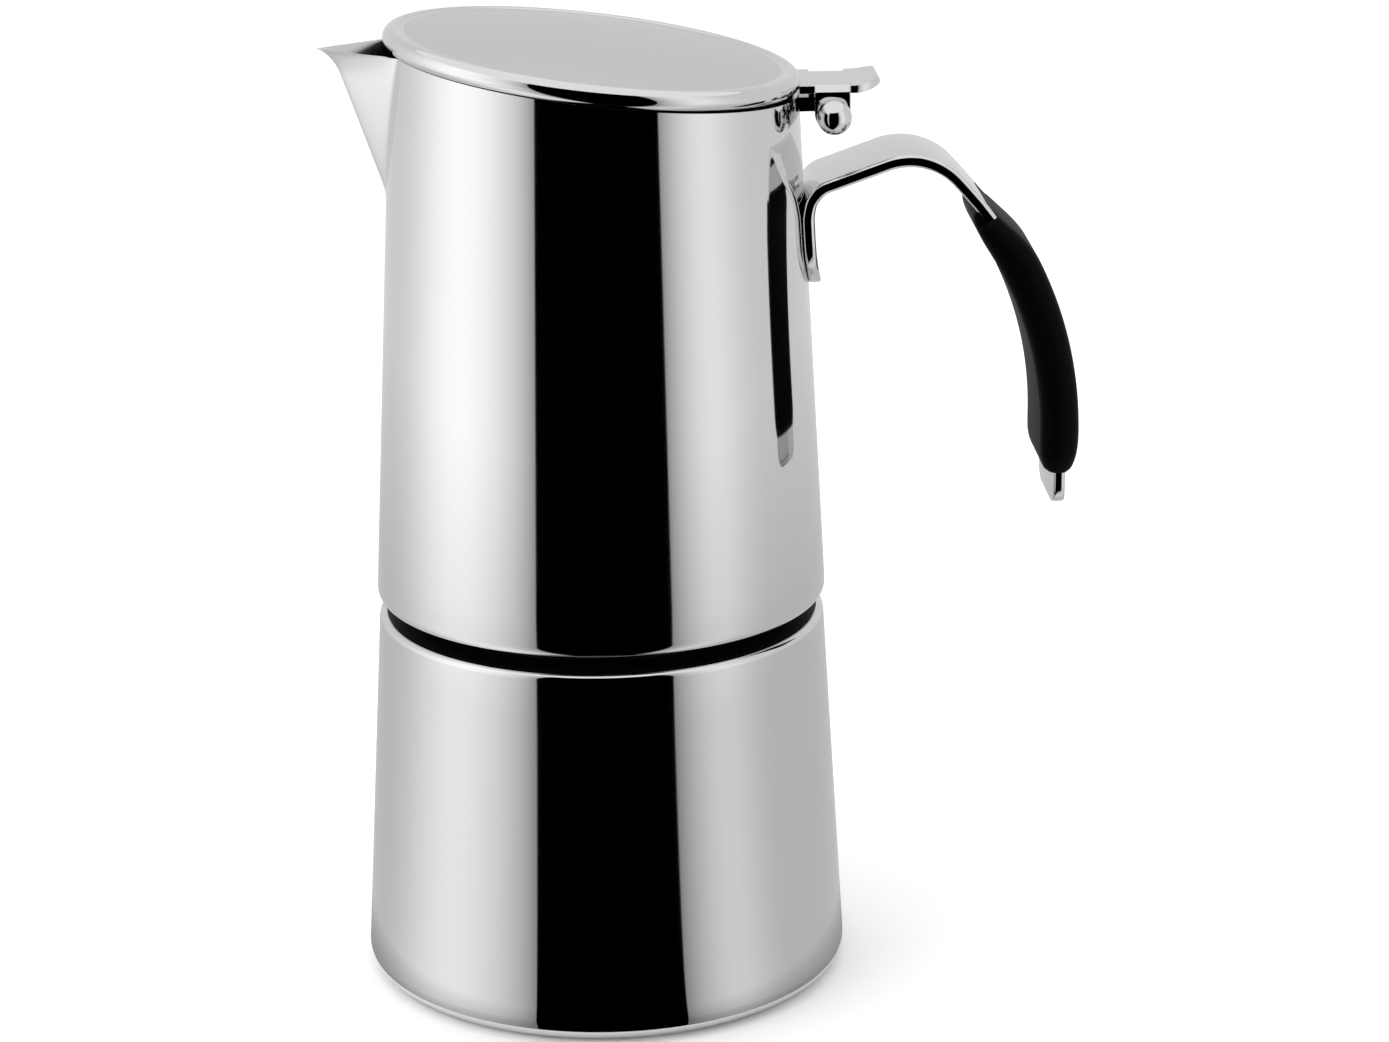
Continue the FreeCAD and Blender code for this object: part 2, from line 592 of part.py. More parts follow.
def make_filter_plate():
    """Perforated plate between the gasket and the jug's floor."""
    body = new_body("filter_plate")
    turned(body, "plate", [
        ("0", "plan.gasket_top"),
        ("plan.gasket_outer", "plan.gasket_top"),
        ("plan.gasket_outer", "plan.plate_top"),
        ("0", "plan.plate_top"),
    ])
    ring_of_holes(body, "holes", "plan.plate_top", [
        ("plan.gasket_inner * 0.2", 6), ("plan.gasket_inner * 0.4", 12),
        ("plan.gasket_inner * 0.6", 18), ("plan.gasket_inner * 0.8", 24)])


def wall_radius(height):
    """The jug's outer radius at a height, as an expression."""
    return f"(plan.lip_radius - (({height}) - plan.lip_height) * plan.lean)"


def make_jug_shell():
    """Tapered wall with a turned-in lip below, cut off on the slant above and open to the spout."""
    body = new_body("jug_shell")
    top = "(plan.lid_height + 12)"
    turned(body, "wall", [
        ("plan.collar_outer + sizes.fit", "plan.lip_height"),
        ("plan.lip_radius", "plan.lip_height", "sizes.lip_round"),
        (wall_radius(top), top),
        (f"{wall_radius(top)} - sizes.jug_wall", top),
        (f"{wall_radius('plan.lip_height + sizes.jug_wall')} - sizes.jug_wall",
         "plan.lip_height + sizes.jug_wall", "sizes.lip_round - sizes.jug_wall"),
        ("plan.collar_outer + sizes.fit", "plan.lip_height + sizes.jug_wall"),
    ])
    sketch = new_sketch(body, "slant_outline", "XZ_Plane")
    draw_path(sketch, [
        ("-60", "plan.rim_height + 60 * plan.slant"),
        ("60", "plan.rim_height - 60 * plan.slant"),
        ("60", "plan.lid_height + 30"),
        ("-60", "plan.lid_height + 30"),
    ])
    cut_through(body, "slant", sketch)
    sketch = new_sketch(body, "spout_mouth_outline", "YZ_Plane", "0 - plan.lip_radius")
    draw_path(sketch, [
        ("0", "plan.spout_bottom + 3 * sizes.spout_sheet", "1"),
        ("sizes.spout_half - 1.2 * sizes.spout_sheet", "plan.spout_top + 1"),
        ("sizes.spout_half - 1.2 * sizes.spout_sheet", "plan.spout_top + 12"),
        ("1.2 * sizes.spout_sheet - sizes.spout_half", "plan.spout_top + 12"),
        ("1.2 * sizes.spout_sheet - sizes.spout_half", "plan.spout_top + 1"),
    ])
    cut_through(body, "spout_mouth", sketch, "plan.lip_radius")


def make_jug_floor():
    """Floor that rises in a cone to the column."""
    body = new_body("jug_floor")
    turned(body, "floor", [
        ("sizes.column_radius", "plan.column_foot"),
        ("plan.neck_inner", "plan.plate_top"),
        ("plan.floor_radius", "plan.plate_top"),
        ("plan.floor_radius", "plan.floor_top"),
        ("plan.neck_inner", "plan.floor_top"),
        ("sizes.column_radius", "plan.column_foot + sizes.floor_thickness"),
    ])


def make_thread_collar():
    """Ring under the jug's floor with the inside thread."""
    body = new_body("thread_collar")
    turned(body, "ring", [
        ("plan.collar_bore", "plan.lip_height - sizes.collar_drop"),
        ("plan.collar_outer", "plan.lip_height - sizes.collar_drop"),
        ("plan.collar_outer", "plan.plate_top"),
        ("plan.collar_bore", "plan.plate_top"),
    ])
    thread(body, "inside_thread", "plan.collar_bore + 0.4",
           "plan.collar_bore - sizes.thread_depth", "(plan.thread_start + sizes.thread_lead / 2)")


def make_column():
    """Tube that the coffee rises through, and its cap with two outlets."""
    inner = "sizes.column_radius - sizes.column_wall"
    body = new_body("column")
    turned(body, "tube", [
        (inner, "plan.column_foot"),
        ("sizes.column_radius", "plan.column_foot"),
        ("sizes.column_radius", "plan.column_top"),
        (inner, "plan.column_top"),
    ])
    body = new_body("column_cap")
    outer = "sizes.column_radius + sizes.cap_overhang"
    turned(body, "dome", [
        (inner, "plan.column_top"),
        (outer, "plan.column_top", "0.8"),
        (outer, "plan.column_top + sizes.cap_height", "3"),
        ("0", "plan.column_top + sizes.cap_height"),
        ("0", "plan.column_top + sizes.cap_height - 1.2"),
        (inner, "plan.column_top + sizes.cap_height - 1.2", "1"),
    ])
    sketch = new_sketch(body, "outlets_outline", "XZ_Plane")
    draw_circle(sketch, "0", "plan.column_top + sizes.cap_height * 0.45", "sizes.outlet_radius")
    cut_through(body, "outlets", sketch)


# ---------------------------------------------------------------- spout

def spout_section(body, name, height, reach, half, nose):
    """Level section of the spout: narrow at its fold, wide where it meets the wall."""
    sketch = new_sketch(body, name, "XY_Plane", height)
    draw_path(sketch, [
        ("0 - plan.spout_root", f"0 - ({half})"),
        ("0 - plan.spout_root", half),
        (f"0 - ({reach})", nose),
        (f"0 - ({reach})", f"0 - ({nose})"),
    ])
    return sketch


def spout_loft(body, kind, name, sections):
    """Straight-sided loft through level sections."""
    loft = body.newObject(kind, name)
    loft.Profile = sections[0]
    loft.Sections = sections[1:]
    loft.Ruled = True
    doc.recompute()


def make_spout():
    """Folded spout with a lip that leans out, open above and open to the jug."""
    body = new_body("spout")
    sheet_thickness = "sizes.spout_sheet"
    spout_loft(body, "PartDesign::AdditiveLoft", "skin", [
        spout_section(body, "foot", "plan.spout_bottom", wall_radius("plan.spout_bottom"),
                      "0.5", "0.3"),
        spout_section(body, "fold_top", "plan.spout_fold_height", "plan.spout_fold_reach",
                      "plan.spout_fold_half", "sizes.spout_nose"),
        spout_section(body, "lip", "plan.spout_top", "plan.spout_reach", "sizes.spout_half",
                      "sizes.spout_nose"),
    ])
    before = body.Shape.Volume
    spout_loft(body, "PartDesign::SubtractiveLoft", "hollow", [
        spout_section(body, "hollow_foot", f"plan.spout_bottom + 4 * {sheet_thickness}",
                      f"{wall_radius('plan.spout_bottom')} + 0.2", "0.4", "0.1"),
        spout_section(body, "hollow_fold_top", "plan.spout_fold_height",
                      f"plan.spout_fold_reach - 1.2 * {sheet_thickness}",
                      f"plan.spout_fold_half - 1.1 * {sheet_thickness}",
                      f"sizes.spout_nose - 0.5 * {sheet_thickness}"),
        spout_section(body, "hollow_lip", "plan.spout_top + 0.01",
                      f"plan.spout_reach - 1.2 * {sheet_thickness}",
                      f"sizes.spout_half - 1.1 * {sheet_thickness}",
                      f"sizes.spout_nose - 0.5 * {sheet_thickness}"),
    ])
    if body.Shape.Volume >= before:
        raise RuntimeError("spout: hollow cuts nothing")
    sketch = new_sketch(body, "wall_side_outline", "XZ_Plane")
    low, high = "(plan.spout_bottom - 5)", "(plan.spout_top + 5)"
    draw_path(sketch, [
        ("0", low),
        (f"{wall_radius(low)} + sizes.fit", low),
        (f"{wall_radius(high)} + sizes.fit", high),
        ("0", high),
    ])
    groove = body.newObject("PartDesign::Groove", "wall_side")
    groove.Profile = sketch
    groove.ReferenceAxis = (sketch, ["V_Axis"])
    groove.Angle = 360
    doc.recompute()


# ---------------------------------------------------------------- handle

def sweep(body, name, section, spine):
    """Sweeps a section along a spine."""
    pipe = body.newObject("PartDesign::AdditivePipe", name)
    pipe.Profile = section
    pipe.Spine = (spine, [])
    pipe.Mode = "Standard"
    doc.recompute()


def rounded_end(body, name, bottom, corner, offset, depth):
    """Rounds a strip's lower end, seen along X, with a corner radius."""
    sketch = new_sketch(body, name + "_outline", "YZ_Plane", offset)
    half = "sizes.strip_width / 2"
    draw_path(sketch, [
        (f"0 - {half} - 2", f"{bottom} - 4"),
        (f"{half} + 2", f"{bottom} - 4"),
        (f"{half} + 2", f"{bottom} + {corner} + 2"),
        (half, f"{bottom} + {corner} + 2"),
        (half, bottom, corner),
        (f"0 - {half}", bottom, corner),
        (f"0 - {half}", f"{bottom} + {corner} + 2"),
        (f"0 - {half} - 2", f"{bottom} + {corner} + 2"),
    ])
    cut_through(body, name, sketch, depth)


def make_handle_strip():
    """Flat strip: tongue wrapped on the wall, rising arm, crest, long curve and tail."""
    body = new_body("handle_strip")
    tongue_wrap = "2 * asin(sizes.strip_width / 2 / (plan.wall_at_tongue + sizes.strip_thickness))"
    upper = "(plan.tongue_top - 0.8 * sizes.arm_round)"
    lower = "plan.tongue_bottom"
    turned(body, "tongue", [
        (f"{wall_radius(lower)} + sizes.fit", lower),
        (f"{wall_radius(lower)} + sizes.fit + sizes.strip_thickness", lower),
        (f"{wall_radius(upper)} + sizes.fit + sizes.strip_thickness", upper),
        (f"{wall_radius(upper)} + sizes.fit", upper),
    ], angle=tongue_wrap)
    spine = new_sketch(body, "strip_line", "XZ_Plane")
    middle = "sizes.fit + sizes.strip_thickness / 2"
    start = "(plan.tongue_top - sizes.arm_round)"
    draw_path(spine, [
        (f"{wall_radius(start)} + {middle}", start),
        ("plan.arm_x", "plan.tongue_top", "sizes.arm_round"),
        ("plan.crest_reach", "plan.crest_z", "sizes.crest_round"),
        ("plan.tail_reach", "plan.tail_bend", "sizes.tail_round"),
        ("plan.tail_reach", "plan.tail_bottom"),
    ], closed=False)
    section = new_sketch(body, "strip_section", "XY_Plane", start)
    centre = f"({wall_radius(start)} + {middle})"
    edge = "sizes.strip_edge"
    half, thick = "sizes.strip_width / 2", "sizes.strip_thickness / 2"
    draw_path(section, [
        (f"{centre} - {thick}", f"0 - {half}", edge), (f"{centre} + {thick}", f"0 - {half}", edge),
        (f"{centre} + {thick}", half, edge), (f"{centre} - {thick}", half, edge)])
    sweep(body, "strip", section, spine)
    rounded_end(body, "tail_end", "plan.tail_bottom", "sizes.tail_corner", "plan.tail_reach",
                "4 * sizes.strip_thickness")
    rounded_end(body, "tongue_end", "plan.tongue_bottom", "sizes.tongue_corner",
                "plan.wall_at_tongue", "6 * sizes.strip_thickness")


def make_handle_grip():
    """Sleeve round the falling part of the strip."""
    body = new_body("handle_grip")
    spine = new_sketch(body, "grip_line", "XZ_Plane")
    start_x = "plan.curve_x + sizes.tail_round * cos(sizes.grip_start * 1deg)"
    start_z = "plan.curve_z + sizes.tail_round * sin(sizes.grip_start * 1deg)"
    draw_path(spine, [
        ("plan.tail_reach", "plan.grip_bottom"),
        ("plan.tail_reach", "plan.curve_z + sizes.tail_round * tan(sizes.grip_start / 2 * 1deg)",
         "sizes.tail_round"),
        (f"{start_x} - sin(sizes.grip_start * 1deg)", f"{start_z} + cos(sizes.grip_start * 1deg)"),
    ], closed=False)
    section = new_sketch(body, "grip_section", "XY_Plane", "plan.grip_bottom")
    for width, thickness, rounding in [
            ("sizes.grip_width", "sizes.grip_thickness", "3.4"),
            ("(sizes.strip_width + 2 * sizes.fit)", "(sizes.strip_thickness + 2 * sizes.fit)",
             "sizes.strip_edge")]:
        low_x, high_x = f"plan.tail_reach - {thickness} / 2", f"plan.tail_reach + {thickness} / 2"
        low_y, high_y = f"0 - {width} / 2", f"{width} / 2"
        draw_path(section, [(low_x, low_y, rounding), (high_x, low_y, rounding),
                            (high_x, high_y, rounding), (low_x, high_y, rounding)])
    sweep(body, "sleeve", section, spine)


# ---------------------------------------------------------------- hinge

def make_hinge():
    """Knuckle with its web on the wall, the pin and its two ball heads."""
    lug_inner = "(sizes.lever_width / 2 - sizes.lever_thickness)"
    body = new_body("hinge_bracket")
    width = f"2 * ({lug_inner} - sizes.running)"
    sketch = new_sketch(body, "knuckle_outline", "XZ_Plane")
    draw_circle(sketch, "plan.hinge_reach", "plan.hinge_height", "sizes.knuckle_radius")
    pad = body.newObject("PartDesign::Pad", "knuckle")
    pad.Profile = sketch
    pad.setExpression("Length", width)
    pad.Midplane = True
    doc.recompute()
    padded(body, "web", "XZ_Plane", [
        ("plan.hinge_root", "plan.hinge_height + sizes.web_low"),
        ("plan.hinge_reach", "plan.hinge_height + sizes.web_low"),
        ("plan.hinge_reach", "plan.hinge_height + sizes.web_high"),
        ("plan.hinge_root", "plan.hinge_height + sizes.web_high"),
    ], width)
    sketch = new_sketch(body, "wall_side_outline", "XZ_Plane")
    low, high = "(plan.hinge_height - 15)", "(plan.hinge_height + 15)"
    draw_path(sketch, [
        ("0", low), (f"{wall_radius(low)} + sizes.fit", low),
        (f"{wall_radius(high)} + sizes.fit", high), ("0", high)])
    groove = body.newObject("PartDesign::Groove", "wall_side")
    groove.Profile = sketch
    groove.ReferenceAxis = (sketch, ["V_Axis"])
    groove.Angle = 360
    doc.recompute()
    sketch = new_sketch(body, "bore_outline", "XZ_Plane")
    draw_circle(sketch, "plan.hinge_reach", "plan.hinge_height", "sizes.pin_radius + sizes.fit")
    cut_through(body, "bore", sketch)

    body = new_body("hinge_pin")
    sketch = new_sketch(body, "pin_outline", "XZ_Plane")
    draw_circle(sketch, "plan.hinge_reach", "plan.hinge_height", "sizes.pin_radius")
    pad = body.newObject("PartDesign::Pad", "pin")
    pad.Profile = sketch
    pad.setExpression("Length", "2 * plan.ball_place")
    pad.Midplane = True
    doc.recompute()

    for name, side in (("hinge_ball_front", "0 - 1"), ("hinge_ball_back", "1")):
        ball = doc.addObject("Part::Sphere", name + "_sphere")
        ball.setExpression("Radius", "sizes.ball_radius")
        hole = doc.addObject("Part::Cylinder", name + "_hole")
        hole.setExpression("Radius", "sizes.pin_radius")
        hole.setExpression("Height", "4 * sizes.ball_radius")
        hole.Placement = FreeCAD.Placement(FreeCAD.Vector(), FreeCAD.Rotation(FreeCAD.Vector(1, 0, 0), 90))
        hole.setExpression("Placement.Base.y", f"(1 - ({side})) * 2 * sizes.ball_radius")
        head = doc.addObject("Part::Cut", name)
        head.Label = name
        head.Base = ball
        head.Tool = hole
        head.setExpression("Placement.Base.x", "plan.hinge_reach")
        head.setExpression("Placement.Base.y", f"({side}) * plan.ball_place")
        head.setExpression("Placement.Base.z", "plan.hinge_height")
        SUB_PARTS.append(head)
        doc.recompute()


# ---------------------------------------------------------------- lid

def make_lid():
    """Domed disc with a rolled rim, lying on the slanted rim of the jug."""
    body = new_body("lid_disc")
    roll = "sizes.rim_roll"
    middle = f"(plan.lid_radius - {roll})"
    sketch = new_sketch(body, "disc_outline", "XZ_Plane")
    draw_path(sketch, [
        ("0", "sizes.lid_rise"),
        ("plan.dome_reach / 2", "sizes.lid_rise", "plan.dome_round"),
        ("plan.dome_reach", "0 - sizes.rim_groove"),
        (f"{middle}", "0", "0.8"),
        ("plan.lid_radius", "0", f"{roll} * 0.9"),
        ("plan.lid_radius", f"0 - 2 * {roll}", f"{roll} * 0.9"),
        (f"{middle} - {roll}", f"0 - 2 * {roll}", f"{roll} * 0.8"),
        ("plan.dome_reach", "0 - sizes.rim_groove - sizes.lid_sheet"),
        ("plan.dome_reach / 2", "sizes.lid_rise - sizes.lid_sheet", "plan.dome_round - sizes.lid_sheet"),
        ("0", "sizes.lid_rise - sizes.lid_sheet"),
    ])
    feature = body.newObject("PartDesign::Revolution", "disc")
    feature.Profile = sketch
    feature.ReferenceAxis = (sketch, ["V_Axis"])
    feature.Angle = 360
    body.Placement = FreeCAD.Placement(FreeCAD.Vector(), FreeCAD.Rotation(FreeCAD.Vector(0, 1, 0), 7))
    body.setExpression("Placement.Rotation.Angle", "sizes.lid_tilt * 1deg")
    body.setExpression("Placement.Base.z", "plan.lid_height")
    doc.recompute()


def make_lid_lever():
    """Strip from the lid's rim over the hinge, two side lugs for the pin, upturned thumb tab."""
    body = new_body("lid_lever")
    top, under = "plan.lever_top", "(plan.lever_top - sizes.lever_thickness)"
    sketch = new_sketch(body, "strip_outline", "XZ_Plane")
    draw_path(sketch, [
        ("plan.hinge_root - 1", under),
        ("plan.lever_bend + 0.5", under, "sizes.tab_curl + sizes.lever_thickness"),
        ("plan.tab_tip_x + sizes.lever_thickness * sin(sizes.tab_angle * 1deg)",
         "plan.tab_tip_z - sizes.lever_thickness * cos(sizes.tab_angle * 1deg)"),
        ("plan.tab_tip_x", "plan.tab_tip_z"),
        ("plan.lever_bend", top, "sizes.tab_curl"), ("plan.hinge_root - 1", top)])
    pad = body.newObject("PartDesign::Pad", "strip")
    pad.Profile = sketch
    pad.setExpression("Length", "sizes.lever_width")
    pad.Midplane = True
    doc.recompute()
    for side, name in (("0 - 1", "front_lug"), ("1", "back_lug")):
        offset = f"({side}) * (sizes.lever_width - sizes.lever_thickness) / 2"
        sketch = new_sketch(body, name + "_outline", "XZ_Plane", offset)
        radius = "sizes.knuckle_radius"
        draw_path(sketch, [
            (f"plan.hinge_reach - {radius}", f"plan.hinge_height - {radius}", f"{radius} * 0.96"),
            (f"plan.hinge_reach + {radius}", f"plan.hinge_height - {radius}", f"{radius} * 0.96"),
            (f"plan.hinge_reach + {radius}", under),
            (f"plan.hinge_reach - {radius}", under)])
        draw_circle(sketch, "plan.hinge_reach", "plan.hinge_height",
                    "sizes.pin_radius + sizes.fit")
        pad = body.newObject("PartDesign::Pad", name)
        pad.Profile = sketch
        pad.setExpression("Length", "sizes.lever_thickness")
        pad.Midplane = True
        doc.recompute()
    sketch = new_sketch(body, "tab_end_outline", "XY_Plane", top)
    half, end = "sizes.lever_width / 2", "plan.tab_end"
    draw_path(sketch, [
        (f"{end} - 6", half), (end, half, "5"), (end, f"0 - {half}", "5"), (f"{end} - 6", f"0 - {half}"),
        (f"{end} - 6", f"0 - {half} - 2"), (f"{end} + 4", f"0 - {half} - 2"),
        (f"{end} + 4", f"{half} + 2"), (f"{end} - 6", f"{half} + 2")])
    cut_through(body, "tab_end", sketch, "30")
    sketch = new_sketch(body, "lid_side_outline", "XY_Plane")
    sketch.AttachmentOffset = FreeCAD.Placement(
        FreeCAD.Vector(), FreeCAD.Rotation(FreeCAD.Vector(0, 1, 0), value("sizes.lid_tilt")))
    sketch.setExpression("AttachmentOffset.Rotation.Angle", "sizes.lid_tilt * 1deg")
    sketch.setExpression("AttachmentOffset.Base.z", "plan.lid_height")
    draw_circle(sketch, "0", "0", "plan.lid_radius + sizes.fit")
    cut_through(body, "lid_side", sketch, "10 * sizes.lever_thickness")


# ---------------------------------------------------------------- build and write

def check_document():
    """Stops on any failed object or unsound sub-part."""
    doc.recompute()
    for item in doc.Objects:
        if "Invalid" in item.State or "Error" in item.State:
            raise RuntimeError(f"{item.Name} failed: {item.State}")
    for part in SUB_PARTS:
        shape = part.Shape
        if shape.isNull() or not shape.isValid() or not shape.Solids:
            raise RuntimeError(f"{part.Label} has no sound solid")


def write_parts():
    """Writes each sub-part to its own file."""
    os.makedirs(PARTS_FOLDER, exist_ok=True)
    for part in SUB_PARTS:
        part.Shape.exportStep(os.path.join(PARTS_FOLDER, part.Label + ".step"))
        box = part.Shape.BoundBox
        print(f"{part.Label:18s} volume {part.Shape.Volume:10.1f}  x {box.XMin:7.2f} {box.XMax:7.2f}"
              f"  y {box.YMin:7.2f} {box.YMax:7.2f}  z {box.ZMin:7.2f} {box.ZMax:7.2f}")


make_boiler_shell()
make_base_disc()
make_neck_ring()
make_valve()
make_funnel()
make_gasket()
make_filter_plate()
make_jug_shell()
make_jug_floor()
make_thread_collar()
make_column()
make_spout()
make_handle_strip()
make_handle_grip()
make_hinge()
make_lid()
make_lid_lever()
check_document()
write_parts()
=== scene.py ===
"""Looks of the stovetop espresso pot: polished steel bodies, satin lid, black grip, studio light.

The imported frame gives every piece's place. Sizes below are in millimetres and become metres when a
mesh is made. +Z is up, the handle points to +X and the spout to -X.
"""

import logging
import math
from dataclasses import dataclass, field
from enum import Enum
from typing import Callable, Iterable, Sequence

import bmesh
import bpy
from mathutils import Matrix, Vector

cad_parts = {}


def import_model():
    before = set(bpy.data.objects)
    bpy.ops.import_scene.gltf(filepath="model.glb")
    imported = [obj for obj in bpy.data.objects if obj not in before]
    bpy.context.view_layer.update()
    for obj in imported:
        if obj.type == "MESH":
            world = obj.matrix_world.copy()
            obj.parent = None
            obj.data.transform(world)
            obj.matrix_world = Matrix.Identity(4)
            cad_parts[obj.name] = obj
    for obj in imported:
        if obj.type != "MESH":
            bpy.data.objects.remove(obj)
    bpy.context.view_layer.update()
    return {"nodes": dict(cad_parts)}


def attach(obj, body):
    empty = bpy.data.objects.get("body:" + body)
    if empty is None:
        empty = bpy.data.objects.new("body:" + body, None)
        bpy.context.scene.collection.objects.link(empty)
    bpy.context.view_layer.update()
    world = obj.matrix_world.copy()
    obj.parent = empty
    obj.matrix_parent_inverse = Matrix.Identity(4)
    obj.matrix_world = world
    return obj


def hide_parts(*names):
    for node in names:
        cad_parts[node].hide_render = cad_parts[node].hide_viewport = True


LOG = logging.getLogger("moka_pot")
MM = 0.001

Point2 = tuple[float, float]
Ring = list[Vector]


# ------------------------------------------------------------------ small tools


def linear(hex_colour: str) -> tuple[float, float, float, float]:
    """Turns an sRGB hex colour into linear RGBA.

    Args:
        hex_colour: a colour such as "#c8c8c8".

    Returns:
        The linear red, green, blue and an alpha of one.
    """
    channels = [int(hex_colour[i:i + 2], 16) / 255 for i in (1, 3, 5)]
    steps = [c / 12.92 if c <= 0.04045 else ((c + 0.055) / 1.055) ** 2.4 for c in channels]
    return (steps[0], steps[1], steps[2], 1.0)


def add_node(tree: bpy.types.NodeTree, kind: str, settings: dict | None = None,
             links: dict | None = None) -> bpy.types.Node:
    """Adds a node with its settings and links.

    Args:
        tree: the node tree.
        kind: the node's type name.
        settings: attribute names, or "input:NAME" for a socket's own value, and their values.
        links: input socket names or numbers, and the output sockets that feed them.

    Returns:
        The new node.
    """
    node = tree.nodes.new(kind)
    for name, setting in (settings or {}).items():
        if name.startswith("input:"):
            key = name[6:]
            node.inputs[int(key) if key.isdigit() else key].default_value = setting
        else:
            setattr(node, name, setting)
    for name, source in (links or {}).items():
        tree.links.new(source, node.inputs[name])
    return node


def arc_points(centre: Point2, radius: float, start: float, end: float, count: int) -> list[Point2]:
    """Points on an arc.

    Args:
        centre: the arc's centre.
        radius: its radius.
        start: its first angle in degrees.
        end: its last angle in degrees.
        count: how many points.

    Returns:
        The points, both ends included.
    """
    angles = [math.radians(start + (end - start) * i / (count - 1)) for i in range(count)]
    return [(centre[0] + radius * math.cos(a), centre[1] + radius * math.sin(a)) for a in angles]


def rounded_path(corners: Sequence[tuple[float, ...]], closed: bool, steps: int = 6) -> list[Point2]:
    """Turns corners with roundings into points, the round stretches as arcs.

    Args:
        corners: (x, y) or (x, y, rounding) for each corner.
        closed: whether the last corner joins the first.
        steps: how many segments a right-angle arc gets.

    Returns:
        The outline's points.
    """
    count = len(corners)
    points: list[Point2] = []
    for i, corner in enumerate(corners):
        here = Vector(corner[:2])
        if len(corner) < 3 or corner[2] <= 0 or (not closed and i in (0, count - 1)):
            points.append((here.x, here.y))
            continue
        back = (Vector(corners[i - 1][:2]) - here).normalized()
        ahead = (Vector(corners[(i + 1) % count][:2]) - here).normalized()
        half = math.acos(max(-1.0, min(1.0, back.dot(ahead)))) / 2
        centre = here + (back + ahead).normalized() * (corner[2] / math.sin(half))
        first = here + back * (corner[2] / math.tan(half)) - centre
        last = here + ahead * (corner[2] / math.tan(half)) - centre
        turn = first.angle_signed(last)
        pieces = max(2, math.ceil(abs(turn) / (math.pi / 2) * steps))
        for k in range(pieces + 1):
            angle = -turn * k / pieces
            spoke = Vector((first.x * math.cos(angle) - first.y * math.sin(angle),
                            first.x * math.sin(angle) + first.y * math.cos(angle)))
            points.append((centre.x + spoke.x, centre.y + spoke.y))
    return points


def subdivided(points: Sequence[Point2], longest: float) -> list[Point2]:
    """Adds points so that no straight stretch is longer than a limit.

    Args:
        points: the points of an open line.
        longest: the longest stretch that is left.

    Returns:
        The points with the added ones.
    """
    result = [points[0]]
    for a, b in zip(points, points[1:]):
        pieces = max(1, math.ceil(math.dist(a, b) / longest))
        result += [(a[0] + (b[0] - a[0]) * k / pieces, a[1] + (b[1] - a[1]) * k / pieces)
                   for k in range(1, pieces + 1)]
    return result


def mesh_object(name: str, vertices: Iterable[Vector], faces: Iterable[Sequence[int]],
                sharp_degrees: float = 35.0) -> bpy.types.Object:
    """Makes an object from points in millimetres, with faces turned outwards and smooth shading.

    Args:
        name: the object's name.
        vertices: its points.
        faces: its faces as indices.
        sharp_degrees: edges that turn more than this stay sharp.

    Returns:
        The linked object.
    """
    mesh = bpy.data.meshes.new(name)
    mesh.from_pydata([tuple(v * MM) for v in vertices], [], [tuple(f) for f in faces])
    body = bmesh.new()
    body.from_mesh(mesh)
    bmesh.ops.remove_doubles(body, verts=body.verts, dist=1e-7)
    bmesh.ops.dissolve_degenerate(body, edges=body.edges, dist=1e-7)
    bmesh.ops.recalc_face_normals(body, faces=body.faces)
    body.to_mesh(mesh)
    body.free()
    mesh.shade_smooth()
    mesh.set_sharp_from_angle(angle=math.radians(sharp_degrees))
    piece = bpy.data.objects.new(name, mesh)
    bpy.context.scene.collection.objects.link(piece)
    return piece


def skin(name: str, rings: Sequence[Ring], wrap: bool = False, caps: bool = False,
         sharp_degrees: float = 35.0) -> bpy.types.Object:
    """Skins a row of closed rings with quads.

    Args:
        name: the object's name.
        rings: the rings, each with the same number of points, in millimetres.
        wrap: whether the last ring joins the first.
        caps: whether the first and last ring are closed with a face.
        sharp_degrees: edges that turn more than this stay sharp.

    Returns:
        The linked object.
    """
    size = len(rings[0])
    vertices = [point for ring in rings for point in ring]
    faces = []
    for r in range(len(rings) if wrap else len(rings) - 1):
        low, high = r * size, ((r + 1) % len(rings)) * size
        faces += [(low + i, low + (i + 1) % size, high + (i + 1) % size, high + i)
                  for i in range(size)]
    if caps:
        faces.append(tuple(range(size)))
        faces.append(tuple(range((len(rings) - 1) * size, len(rings) * size)))
    return mesh_object(name, vertices, faces, sharp_degrees)


def lathe(name: str, outline: Sequence[Point2], segments: int = 192, closed: bool = True,
          sharp_degrees: float = 35.0) -> bpy.types.Object:
    """Turns an outline of (radius, height) about the Z axis.

    Args:
        name: the object's name.
        outline: the points of the outline, in millimetres.
        segments: how many steps the turn has.
        closed: whether the outline's last point joins its first.
        sharp_degrees: edges that turn more than this stay sharp.

    Returns:
        The linked object.
    """
    rings = []
    for radius, height in outline:
        rings.append([Vector((radius * math.cos(a), radius * math.sin(a), height))
                      for a in (2 * math.pi * k / segments for k in range(segments))])
    piece = skin(name, rings, wrap=closed, sharp_degrees=sharp_degrees)
    if min(radius for radius, _ in outline) < 0.001:
        body = bmesh.new()
        body.from_mesh(piece.data)
        bmesh.ops.remove_doubles(body, verts=body.verts, dist=0.001 * MM)
        body.to_mesh(piece.data)
        body.free()
    return piece


# ------------------------------------------------------------------ finishes


class Polish(Enum):
    """How far a steel surface has been worked."""

    MIRROR = "mirror"
    SATIN = "satin"
    BRUSHED = "brushed"


